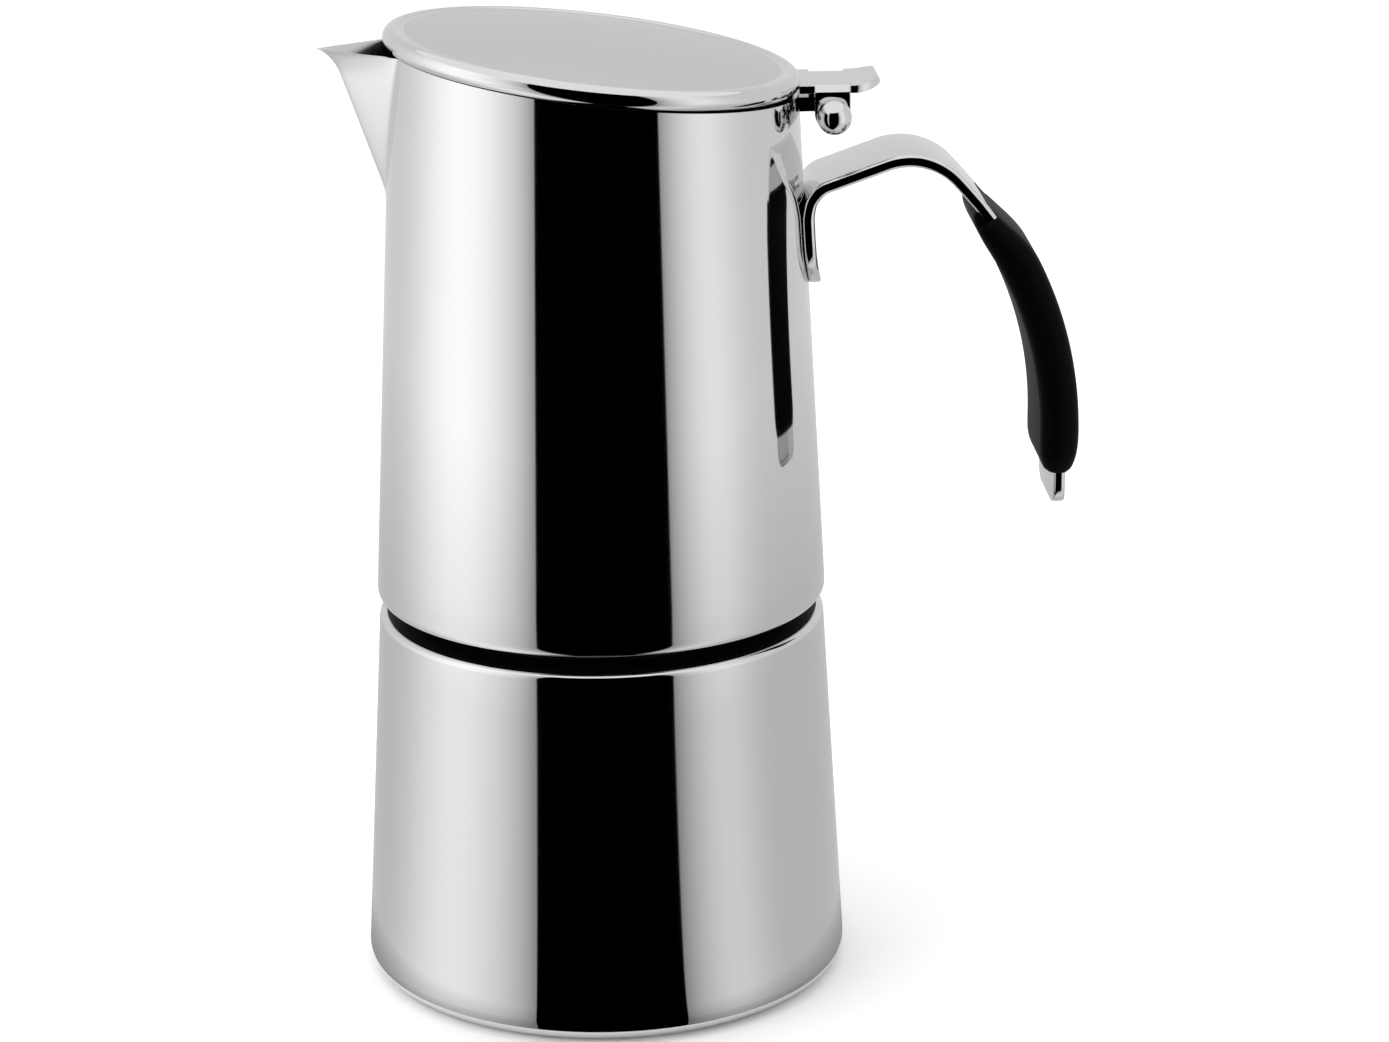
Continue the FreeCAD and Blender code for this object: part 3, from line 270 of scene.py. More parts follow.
@dataclass(frozen=True)
class Steel:
    """18/10 stainless steel: a neutral grey metal whose polish decides how sharply it mirrors."""

    name: str
    polish: Polish
    colour: str = "#d6d6d6"
    roughness: float = 0.05
    grain_mm: float = 0.4

    def material(self) -> bpy.types.Material:
        """Builds the node material.

        Returns:
            The material.
        """
        material = bpy.data.materials.new(self.name)
        material.use_nodes = True
        tree = material.node_tree
        shader = tree.nodes["Principled BSDF"]
        shader.inputs["Metallic"].default_value = 1.0
        shader.inputs["Base Color"].default_value = linear(self.colour)
        place = add_node(tree, "ShaderNodeTexCoord")
        if self.polish is Polish.MIRROR:
            # Buffing leaves faint hazy patches: the mirror stays sharp and its roughness drifts a little.
            haze = add_node(tree, "ShaderNodeTexNoise",
                            {"input:Scale": 1 / (30 * MM), "input:Detail": 3.0},
                            {"Vector": place.outputs["Object"]})
            spread = add_node(tree, "ShaderNodeMapRange",
                              {"input:To Min": self.roughness * 0.7, "input:To Max": self.roughness * 1.5},
                              {"Value": haze.outputs["Fac"]})
            tree.links.new(spread.outputs["Result"], shader.inputs["Roughness"])
            return material
        # Abrasive bands leave lines: a noise squeezed along the rubbing direction, seen as a soft sheen.
        stretch = (1.0, 1.0, 14.0) if self.polish is Polish.BRUSHED else (1.0, 1.0, 1.0)
        lines = add_node(tree, "ShaderNodeMapping", {"input:Scale": stretch},
                         {"Vector": place.outputs["Object"]})
        grain = add_node(tree, "ShaderNodeTexNoise",
                         {"input:Scale": 1 / (self.grain_mm * MM), "input:Detail": 4.0},
                         {"Vector": lines.outputs["Vector"]})
        spread = add_node(tree, "ShaderNodeMapRange",
                          {"input:To Min": self.roughness * 0.85, "input:To Max": self.roughness * 1.15},
                          {"Value": grain.outputs["Fac"]})
        bump = add_node(tree, "ShaderNodeBump", {"input:Strength": 0.08, "input:Distance": 0.02 * MM},
                        {"Height": grain.outputs["Fac"]})
        tree.links.new(spread.outputs["Result"], shader.inputs["Roughness"])
        tree.links.new(bump.outputs["Normal"], shader.inputs["Normal"])
        return material


@dataclass(frozen=True)
class MouldedPolymer:
    """Moulded plastic or rubber: a flat body colour with the fine spark-eroded grain of its mould."""

    name: str
    colour: str
    roughness: float
    grain_mm: float = 0.35
    relief_mm: float = 0.02
    specular: float = 0.5

    def material(self) -> bpy.types.Material:
        """Builds the node material.

        Returns:
            The material.
        """
        material = bpy.data.materials.new(self.name)
        material.use_nodes = True
        tree = material.node_tree
        shader = tree.nodes["Principled BSDF"]
        shader.inputs["Base Color"].default_value = linear(self.colour)
        shader.inputs["IOR"].default_value = 1.5
        shader.inputs["Specular IOR Level"].default_value = self.specular
        place = add_node(tree, "ShaderNodeTexCoord")
        grain = add_node(tree, "ShaderNodeTexNoise",
                         {"input:Scale": 1 / (self.grain_mm * MM), "input:Detail": 5.0},
                         {"Vector": place.outputs["Object"]})
        spread = add_node(tree, "ShaderNodeMapRange",
                          {"input:To Min": self.roughness * 0.85, "input:To Max": self.roughness * 1.15},
                          {"Value": grain.outputs["Fac"]})
        bump = add_node(tree, "ShaderNodeBump",
                        {"input:Strength": 0.25, "input:Distance": self.relief_mm * MM},
                        {"Height": grain.outputs["Fac"]})
        tree.links.new(spread.outputs["Result"], shader.inputs["Roughness"])
        tree.links.new(bump.outputs["Normal"], shader.inputs["Normal"])
        return material


@dataclass(frozen=True)
class TurnedBrass:
    """Free-cutting brass off a lathe: warm yellow with fine turning rings that soften its shine."""

    name: str = "turned_brass"
    colour: str = "#c9b282"
    roughness: float = 0.24
    ring_mm: float = 0.3

    def material(self) -> bpy.types.Material:
        """Builds the node material.

        Returns:
            The material.
        """
        material = bpy.data.materials.new(self.name)
        material.use_nodes = True
        tree = material.node_tree
        shader = tree.nodes["Principled BSDF"]
        shader.inputs["Metallic"].default_value = 1.0
        shader.inputs["Base Color"].default_value = linear(self.colour)
        place = add_node(tree, "ShaderNodeTexCoord")
        tone = add_node(tree, "ShaderNodeTexNoise", {"input:Scale": 1 / (3 * MM), "input:Detail": 3.0},
                        {"Vector": place.outputs["Object"]})
        spread = add_node(tree, "ShaderNodeMapRange",
                          {"input:To Min": self.roughness * 0.8, "input:To Max": self.roughness * 1.3},
                          {"Value": tone.outputs["Fac"]})
        rings = add_node(tree, "ShaderNodeTexWave",
                         {"wave_type": "BANDS", "bands_direction": "Y",
                          "input:Scale": 1 / (self.ring_mm * MM) / 20, "input:Distortion": 0.2},
                         {"Vector": place.outputs["Object"]})
        bump = add_node(tree, "ShaderNodeBump", {"input:Strength": 0.1, "input:Distance": 0.02 * MM},
                        {"Height": rings.outputs["Fac"]})
        tree.links.new(spread.outputs["Result"], shader.inputs["Roughness"])
        tree.links.new(bump.outputs["Normal"], shader.inputs["Normal"])
        return material


@dataclass
class Finishes:
    """Every finish of the pot, made once."""

    mirror: bpy.types.Material = field(init=False)
    satin: bpy.types.Material = field(init=False)
    inside: bpy.types.Material = field(init=False)
    gap_shade_steel: bpy.types.Material = field(init=False)
    grip: bpy.types.Material = field(init=False)
    seal: bpy.types.Material = field(init=False)
    brass: bpy.types.Material = field(init=False)
    spring: bpy.types.Material = field(init=False)

    def __post_init__(self) -> None:
        """Makes the materials."""
        self.mirror = Steel("mirror_polished_steel", Polish.MIRROR, "#dcdcdc", 0.045).material()
        self.satin = Steel("satin_pressed_steel", Polish.SATIN, "#d2d2d2", 0.3, 0.25).material()
        self.inside = Steel("brushed_inner_steel", Polish.BRUSHED, "#c4c4c4", 0.28, 0.5).material()
        self.grip = MouldedPolymer("moulded_black_grip", "#020202", 0.5, specular=0.05).material()
        # Unpolished steel for the gap between the jug and the boiler: its rough finish is real, its dark
        # colour is painted shade of that narrow recess.
        self.gap_shade_steel = Steel("unpolished_steel_painted_gap_shade", Polish.SATIN, "#3a3a3a", 0.5, 0.3).material()
        self.seal = MouldedPolymer("pressed_silicone", "#d9d6cf", 0.5).material()
        self.brass = TurnedBrass().material()
        self.spring = Steel("drawn_spring_wire", Polish.BRUSHED, "#9a9a9a", 0.32, 0.2).material()


def dress(piece: bpy.types.Object, *materials: bpy.types.Material) -> None:
    """Gives a piece its materials, in the order of its face material numbers.

    Args:
        piece: the object.
        materials: the materials.
    """
    piece.data.materials.clear()
    for material in materials:
        piece.data.materials.append(material)


def install(piece: bpy.types.Object, body: str, slot: str, *nodes: str) -> None:
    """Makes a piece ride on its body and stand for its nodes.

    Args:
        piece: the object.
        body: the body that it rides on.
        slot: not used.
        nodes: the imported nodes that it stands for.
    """
    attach(piece, body)
    if nodes:
        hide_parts(*nodes)
    LOG.info("%s rides on %s and stands for %s", piece.name, body, ", ".join(nodes) or "nothing")


def paint(piece: bpy.types.Object, rule: Callable[[Vector, Vector], int]) -> None:
    """Picks each face's material number from its centre and normal.

    Args:
        piece: the object.
        rule: gives the number for a centre in millimetres and a normal.
    """
    for face in piece.data.polygons:
        face.material_index = rule(face.center / MM, face.normal)


# ------------------------------------------------------------------ boiler


@dataclass
class Boiler:
    """Drawn steel vessel with a rounded foot and a tight shoulder."""

    finishes: Finishes
    base_radius: float = 49.25
    shoulder_radius: float = 44.85
    shoulder_height: float = 75.9
    foot_round: float = 4.4
    shoulder_round: float = 1.5
    wall: float = 1.2
    foot_lift: float = 0.2
    disc_radius: float = 44.05
    disc_thickness: float = 3.0
    neck_radius: float = 36.0

    def shell(self) -> bpy.types.Object:
        """Builds the vessel.

        Returns:
            The object.
        """
        corners = [
            (0.0, self.disc_thickness),
            (self.disc_radius, self.disc_thickness),
            (self.disc_radius, self.foot_lift),
            (self.base_radius, self.foot_lift, self.foot_round),
            (self.shoulder_radius, self.shoulder_height, self.shoulder_round),
            (self.neck_radius, self.shoulder_height),
            (self.neck_radius, self.shoulder_height - self.wall),
            (self.shoulder_radius - self.wall, self.shoulder_height - self.wall, 0.5),
            (self.base_radius - self.wall, self.disc_thickness + self.wall,
             self.foot_round - self.wall),
            (0.0, self.disc_thickness + self.wall),
        ]
        outline = subdivided(rounded_path(corners, closed=False, steps=12), 12.0)
        return lathe("boiler_body", outline, segments=256, closed=False)

    def finish_of(self, centre: Vector, normal: Vector) -> int:
        """0 for the polished outside, 1 for the unpolished shoulder under the jug, dark as painted shade of
        the gap, 2 for the inside.
        """
        radius = math.hypot(centre.x, centre.y)
        if centre.z > self.shoulder_height - 0.05:
            return 1 if radius < self.shoulder_radius - self.shoulder_round else 0
        outside = normal.x * centre.x + normal.y * centre.y > 0 and centre.z < self.shoulder_height
        return 0 if outside or centre.z < self.disc_thickness - 0.5 else 2

    def build(self) -> None:
        """Builds and dresses the boiler's pieces."""
        shell = self.shell()
        dress(shell, self.finishes.mirror, self.finishes.gap_shade_steel, self.finishes.inside)
        paint(shell, self.finish_of)
        install(shell, "boiler", "polished_steel", "boiler_shell")


# ------------------------------------------------------------------ jug


@dataclass
class Jug:
    """Tapered wall that swells into the pointed spout, cut off on the slant."""

    finishes: Finishes
    lip_radius: float = 45.27
    lip_height: float = 78.9
    lip_round: float = 2.2
    taper: float = math.tan(math.radians(2.95))
    wall: float = 1.0
    collar_radius: float = 39.8
    rim_height: float = 185.52
    slant: float = math.tan(math.radians(7.13))
    spout_bottom: float = 159.5
    spout_top: float = 190.2
    fold_top: float = 51.9
    curl: float = 3.7
    curl_height: float = 5.0
    spout_half: float = 12.0
    nose: float = 0.9
    crease: float = 0.3
    levels: int = 56

    def wall_radius(self, height: float) -> float:
        """The wall's outer radius at a height."""
        return self.lip_radius - (height - self.lip_height) * self.taper

    def fold_reach(self, height: float) -> float:
        """How far the spout's fold stands out at a height, curled outwards at the top."""
        low = self.wall_radius(self.spout_bottom)
        share = (height - self.spout_bottom) / (self.spout_top - self.spout_bottom)
        bend = min(1.0, max(0.0, 1 - (self.spout_top - height) / self.curl_height))
        return low + (self.fold_top - low) * share + self.curl * (1 - math.sqrt(1 - 0.96 * bend * bend))

    def radius_at(self, bearing: float, height: float) -> float:
        """The outer surface's distance from the axis.

        Args:
            bearing: the angle from the spout's direction, in radians, without sign.
            height: the height in millimetres.

        Returns:
            The distance from the axis.
        """
        wall = self.wall_radius(height)
        if height <= self.spout_bottom or bearing > math.radians(40):
            return wall
        half = self.spout_half * (height - self.spout_bottom) / (self.spout_top - self.spout_bottom)
        reach = self.fold_reach(height)
        run = reach - math.sqrt(wall * wall - half * half)
        aside = math.hypot(math.sin(bearing), self.nose / reach)
        side = half * reach / (half * math.cos(bearing) + run * aside)
        return (side + wall + math.hypot(side - wall, self.crease)) / 2

    def column(self, bearing: float, facing: float) -> list[Point2]:
        """One upright slice through the wall.

        Args:
            bearing: the angle from the spout's direction, without sign.
            facing: the slice's azimuth from +X.

        Returns:
            (distance from the axis, height) points round the slice.
        """
        start = self.lip_height + 8
        lip = rounded_path([(self.collar_radius, self.lip_height),
                            (self.lip_radius, self.lip_height, self.lip_round),
                            (self.wall_radius(start), start)], closed=False, steps=10)
        top = self.rim_height - math.cos(facing) * self.wall_radius(self.rim_height) * self.slant
        top = min(top, self.spout_top)
        heights = [start + (top - start) * (1 - (1 - k / self.levels) ** 1.6)
                   for k in range(1, self.levels + 1)]
        outside = [(self.radius_at(bearing, height), height) for height in heights]
        inside = [(radius - self.wall, height) for radius, height in reversed(outside)]
        inside[0] = (inside[0][0], inside[0][1] - 0.02)
        inner_lip = [(self.lip_radius - self.wall - 0.3, self.lip_height + self.wall + 1.2),
                     (self.lip_radius - self.wall - 1.3, self.lip_height + self.wall),
                     (self.collar_radius, self.lip_height + self.wall)]
        return lip + outside + inside + inner_lip

    def shell(self) -> bpy.types.Object:
        """Builds the wall with its spout.

        Returns:
            The object.
        """
        steps = [0.1 * k for k in range(15)] + [1.5 + 0.35 * k for k in range(82)]
        steps = [*[-step for step in reversed(steps[1:])], *steps]
        coarse = [steps[-1] + (360 - 2 * steps[-1]) * k / 200 for k in range(1, 200)]
        columns: list[Ring] = []
        for azimuth in [math.radians(step) for step in steps + coarse]:
            signed = (azimuth + math.pi) % (2 * math.pi) - math.pi
            facing = math.pi + signed
            columns.append([Vector((r * math.cos(facing), r * math.sin(facing), z))
                            for r, z in self.column(abs(signed), facing)])
        return skin("jug_body", columns, wrap=True, sharp_degrees=50.0)

    def finish_of(self, centre: Vector, normal: Vector) -> int:
        """0 for the polished outside, 1 for the unpolished lip underneath, dark as painted shade of the
        gap, 2 for the inside.
        """
        radius = math.hypot(centre.x, centre.y)
        if centre.z < self.lip_height + 0.05 and radius < self.lip_radius - self.lip_round:
            return 1
        inwards = normal.x * centre.x + normal.y * centre.y < 0
        return 2 if inwards and centre.z > self.lip_height + 0.5 and normal.z < 0.9 else 0

    def build(self) -> None:
        """Builds and dresses the jug's pieces."""
        shell = self.shell()
        dress(shell, self.finishes.mirror, self.finishes.gap_shade_steel, self.finishes.inside)
        paint(shell, self.finish_of)
        install(shell, "jug", "polished_steel", "jug_shell", "spout")


# ------------------------------------------------------------------ handle


@dataclass
class Handle:
    """Steel strip bent from one flat bar, wrapped on the wall, and its moulded grip."""

    finishes: Finishes
    jug: Jug
    width: float = 22.0
    thickness: float = 2.4
    edge: float = 0.75
    stand_off: float = 0.05
    tongue_bottom: float = 142.0
    tongue_top: float = 162.2
    crest: Point2 = (64.75, 170.13)
    tail_reach: float = 91.35
    tail_bend: float = 140.8
    tail_bottom: float = 97.5
    arm_round: float = 4.0
    crest_round: float = 13.0
    tail_round: float = 74.0
    tongue_corner: float = 10.6
    tail_corner: float = 3.0
    grip_width: float = 25.0
    grip_thickness: float = 7.79
    grip_bottom: float = 104.3
    grip_turn: float = 38.6
    notch: float = 3.0

    def middle_line(self) -> list[Point2]:
        """The strip's middle line in the XZ plane, from the tongue's end to the tail's end."""
        offset = self.stand_off + self.thickness / 2
        arm = self.jug.wall_radius(self.tongue_top) + offset
        corners = [
            (self.jug.wall_radius(self.tongue_bottom) + offset, self.tongue_bottom),
            (arm, self.tongue_top, self.arm_round),
            (*self.crest, self.crest_round),
            (self.tail_reach, self.tail_bend, self.tail_round),
            (self.tail_reach, self.tail_bottom),
        ]
        return subdivided(rounded_path(corners, closed=False, steps=28), 0.8)

    @staticmethod
    def tangents(line: Sequence[Point2]) -> list[Vector]:
        """The direction of travel at each point of a line."""
        spots = [Vector((x, 0.0, z)) for x, z in line]
        ahead = [*spots[1:], spots[-1]]
        back = [spots[0], *spots[:-1]]
        return [(b - a).normalized() for a, b in zip(back, ahead)]

    @staticmethod
    def section(half: float, outer: float, inner: float, edge: float) -> list[Point2]:
        """A rounded rectangle as (across, outwards) points.

        Args:
            half: half its width.
            outer: how far it reaches outwards.
            inner: how far it reaches inwards.
            edge: the rounding of its corners.

        Returns:
            The same number of points for any size.
        """
        points: list[Point2] = []
        edge = min(edge, half * 0.98, (outer + inner) * 0.49)
        for y, z, start in ((half, outer, 0.0), (-half, outer, 90.0), (-half, -inner, 180.0),
                            (half, -inner, 270.0)):
            centre = (y - math.copysign(edge, y), z - math.copysign(edge, z))
            points += arc_points(centre, edge, start, start + 90.0, 7)
        return points

    def strip(self) -> bpy.types.Object:
        """Builds the steel strip.

        Returns:
            The object.
        """
        line = self.middle_line()
        runs = [0.0]
        for a, b in zip(line, line[1:]):
            runs.append(runs[-1] + math.dist(a, b))
        rings: list[Ring] = []
        for (x, z), travel, run in zip(line, self.tangents(line), runs):
            outwards = Vector((travel.z, 0.0, -travel.x))
            half = self.width / 2
            for gap, corner in ((run, self.tongue_corner), (runs[-1] - run, self.tail_corner)):
                if gap < corner:
                    half -= corner - math.sqrt(corner ** 2 - (corner - gap) ** 2)
            wrap = min(1.0, max(0.0, (self.tongue_top + 1.0 - z) / 7.0)) if run < 30 else 0.0
            wrap = wrap * wrap * (3 - 2 * wrap)
            ring = []
            for across, out in self.section(half, self.thickness / 2, self.thickness / 2, self.edge):
                sag = wrap * (x - math.sqrt(x * x - across * across))
                ring.append(Vector((x - sag, across, z)) + outwards * out)
            rings.append(ring)
        return skin("handle_bar", rings, caps=True)

    def grip_line(self) -> list[Point2]:
        """The grip's middle line, from its lower end to its upper end."""
        angle = math.atan2(self.tail_reach - self.crest[0], self.crest[1] - self.tail_bend)
        centre = (self.tail_reach - self.tail_round,
                  self.tail_bend - self.tail_round * math.tan(angle / 2))
        curve = arc_points(centre, self.tail_round, 0.0, self.grip_turn, 90)
        return subdivided([(self.tail_reach, self.grip_bottom), *curve], 0.55)

    def grip(self) -> bpy.types.Object:
        """Builds the grip: full in the middle, drawn in at its ends, split at the top by the strip.

        Returns:
            The object.
        """
        line = self.grip_line()
        runs = [0.0]
        for a, b in zip(line, line[1:]):
            runs.append(runs[-1] + math.dist(a, b))
        full = self.grip_thickness / 2
        thin = self.thickness / 2
        rings: list[Ring] = []
        for (x, z), travel, run in zip(line, self.tangents(line), runs):
            outwards = Vector((travel.z, 0.0, -travel.x))
            left = runs[-1] - run

            def swell(gap: float, length: float, start: float) -> float:
                """Thickness that grows round from an end to the full one."""
                share = min(1.0, gap / length)
                return start + (full - start) * math.sqrt(1 - (1 - share) ** 2)

            ease = min(1.0, left / 15.0)
            flap = thin + 0.05 + (full - thin - 0.05) * ease * ease * (3 - 2 * ease)
            outer = min(swell(run, 8.0, thin + 0.5), flap)
            inner = min(swell(run, 5.0, thin + 0.9), swell(left, 8.0, thin + 0.5))
            half = self.grip_width / 2
            half -= 1.2 * (1 - min(1.0, run / 4.0)) ** 2
            if left < self.notch:
                half = self.width / 2 - 0.12
            elif left < self.notch + 1.0:
                half -= 1.2 * (1 - (left - self.notch)) ** 2
            rings.append([Vector((x, across, z)) + outwards * out
                          for across, out in self.section(half, outer, inner, 3.3)])
        return skin("handle_sleeve", rings, caps=True, sharp_degrees=42.0)

    def build(self) -> None:
        """Builds and dresses the handle's pieces."""
        bar = self.strip()
        dress(bar, self.finishes.mirror)
        install(bar, "jug", "polished_steel", "handle_strip")
        sleeve = self.grip()
        dress(sleeve, self.finishes.grip)
        install(sleeve, "jug", "black_grip", "handle_grip")


# ------------------------------------------------------------------ lid


@dataclass
class Lid:
    """Satin dome with a polished rolled rim, and the bent lever that carries it on the hinge."""

    finishes: Finishes
    height: float = 189.65
    tilt: float = 7.13
    radius: float = 40.89
    roll: float = 2.0
    sheet: float = 1.0
    rise: float = 2.6
    groove: float = 0.35
    hinge: Point2 = (46.05, 177.3)
    lever_half: float = 8.75
    lever_top: float = 182.8
    lever_thickness: float = 1.5
    bend: float = 2.3
    lug_half: float = 3.45
    lug_hole: float = 1.56
    curl_start: float = 50.2
    curl_radius: float = 10.0
    tab_length: float = 4.9

    def disc(self) -> bpy.types.Object:
        """Builds the dome with its rim, tilted onto the jug.

        Returns:
            The object.
        """
        reach = self.radius - 2 * self.roll
        fall = self.rise + self.groove
        dome = [(reach * k / 30, self.rise - fall * (k / 30) ** 2) for k in range(31)]
        middle = self.radius - self.roll
        rim = [(reach + 0.35, -self.groove - 0.02)]
        rim += arc_points((middle, -self.roll), self.roll, 122.0, -90.0, 26)
        rim += [(middle - self.roll * 0.8, -2 * self.roll + 0.25), (reach + 0.02, -2 * self.roll + 1.0)]
        under = [(radius, z - self.sheet) for radius, z in reversed(dome)]
        disc = lathe("lid_dome", [*dome, *rim, *under], segments=256, closed=False,
                     sharp_degrees=30.0)
        turn = Matrix.Rotation(math.radians(self.tilt), 4, "Y")
        disc.data.transform(Matrix.Translation((0.0, 0.0, self.height * MM)) @ turn)
        return disc

    def disc_finish(self, centre: Vector, normal: Vector) -> int:
        """0 for the satin top, 1 for the polished rim, 2 for the underside."""
        turn = Matrix.Rotation(math.radians(-self.tilt), 4, "Y")
        local = turn @ (centre - Vector((0.0, 0.0, self.height)))
        if math.hypot(local.x, local.y) > self.radius - 2 * self.roll + 0.1:
            return 1
        return 0 if (turn.to_3x3() @ normal).z > 0 else 2

    def lift(self, x: float) -> float:
        """How far the lever's upper face has curled up at a distance from the pot's axis."""
        along = max(0.0, x - self.curl_start)
        return self.curl_radius - math.sqrt(self.curl_radius ** 2 - along ** 2)

    def lug_columns(self) -> list[float]:
        """Where the columns of faces over a lug stand."""
        return [self.hinge[0] - self.lug_half + 2 * self.lug_half * k / 10 for k in range(11)]

    def lever(self) -> bpy.types.Object:
        """Builds the lever: a flat strip, two lugs bent down round the pin, and the curled tab.

        Returns:
            The object.
        """
        vertices: list[Vector] = []
        faces: list[tuple[int, ...]] = []

        def patch(rows: list[list[Vector]]) -> None:
            """Adds a grid of quads."""
            start, size = len(vertices), len(rows[0])
            vertices.extend(point for row in rows for point in row)
            faces.extend((start + r * size + i, start + r * size + i + 1,
                          start + (r + 1) * size + i + 1, start + (r + 1) * size + i)
                         for r in range(len(rows) - 1) for i in range(size - 1))

        flat = self.lever_half - self.bend
        lugs = self.lug_columns()
        before = [39.6 + (lugs[0] - 39.6) * k / 4 for k in range(5)]
        end = self.curl_start + self.tab_length
        after = [lugs[-1] + (end - lugs[-1]) * k / 18 for k in range(19)]
        across = [flat * k / 5 for k in range(-5, 6)]
        corner = 5.0

        def half_at(x: float) -> float:
            """Half the tab's width, rounded off at its end."""
            gap = end - x
            if gap >= corner:
                return self.lever_half
            return self.lever_half - corner + math.sqrt(corner ** 2 - (corner - gap) ** 2)

        def row(x: float, spread: Sequence[float]) -> list[Vector]:
            """One row across the strip."""
            return [Vector((x, y, self.lever_top + self.lift(x))) for y in spread]

        patch([row(x, across) for x in lugs])
        for xs in (before, after):
            wide = [[*(-half_at(x) + (half_at(x) - flat) * k / 3 for k in range(3)), *across,
                     *(flat + (half_at(x) - flat) * k / 3 for k in range(1, 4))]
                    if half_at(x) > flat + 0.05 else
                    [half_at(x) * (k - 8) / 8 for k in range(17)] for x in xs]
            patch([row(x, spread) for x, spread in zip(xs, wide)])
        low = self.lever_top - self.bend
        for side in (-1.0, 1.0):
            turn = [(flat + self.bend * math.sin(a), low + self.bend * math.cos(a))
                    for a in (math.pi / 2 * k / 8 for k in range(9))]
            patch([[Vector((x, side * y, z)) for y, z in turn] for x in lugs])
            upper = [(x, low) for x in lugs]
            right = [(lugs[-1], low - (low - self.hinge[1]) * k / 3) for k in (1, 2)]
            round_end = arc_points(self.hinge, self.lug_half, 0.0, -180.0, 21)
            left = [(lugs[0], low - (low - self.hinge[1]) * k / 3) for k in (2, 1)]
            rim = [*upper, *right, *round_end, *left]
            rings = []
            for share in (1.0, 0.7, 0.35, 0.0):
                ring = []
                for x, z in rim:
                    way = Vector((x - self.hinge[0], z - self.hinge[1]))
                    spoke = way.normalized() * self.lug_hole
                    spot = spoke + (way - spoke) * share
                    ring.append(Vector((self.hinge[0] + spot.x, side * self.lever_half,
                                        self.hinge[1] + spot.y)))
                rings.append([*ring, ring[0]])
            patch(rings)
        lever = mesh_object("lid_lever_strip", vertices, faces, 40.0)
        self.face_up(lever)
        sheet = lever.modifiers.new("sheet", "SOLIDIFY")
        sheet.thickness = self.lever_thickness * MM
        sheet.offset = -1.0
        edge = lever.modifiers.new("edge", "BEVEL")
        edge.width = 0.3 * MM
        edge.segments = 2
        edge.limit_method = "ANGLE"
        edge.angle_limit = math.radians(50)
        return lever

    @staticmethod
    def face_up(lever: bpy.types.Object) -> None:
        """Turns every face of an open sheet the same way, the flat part upwards."""
        body = bmesh.new()
        body.from_mesh(lever.data)
        bmesh.ops.recalc_face_normals(body, faces=body.faces)
        top = max(body.faces, key=lambda face: abs(face.normal.z) * face.calc_area())
        if top.normal.z < 0:
            bmesh.ops.reverse_faces(body, faces=body.faces)
        body.to_mesh(lever.data)
        body.free()

    def build(self) -> None:
        """Builds and dresses the lid's pieces."""
        disc = self.disc()
        dress(disc, self.finishes.satin, self.finishes.mirror, self.finishes.inside)
        paint(disc, self.disc_finish)
        install(disc, "lid", "satin_steel", "lid_disc")
        lever = self.lever()
        dress(lever, self.finishes.mirror)
        install(lever, "lid", "polished_steel", "lid_lever")


# ------------------------------------------------------------------ studio


@dataclass(frozen=True)
class ClothLamp:
    """A lamp behind the tent's cloth, which makes a soft light patch on it."""

    azimuth: float
    spread: float
    level: float


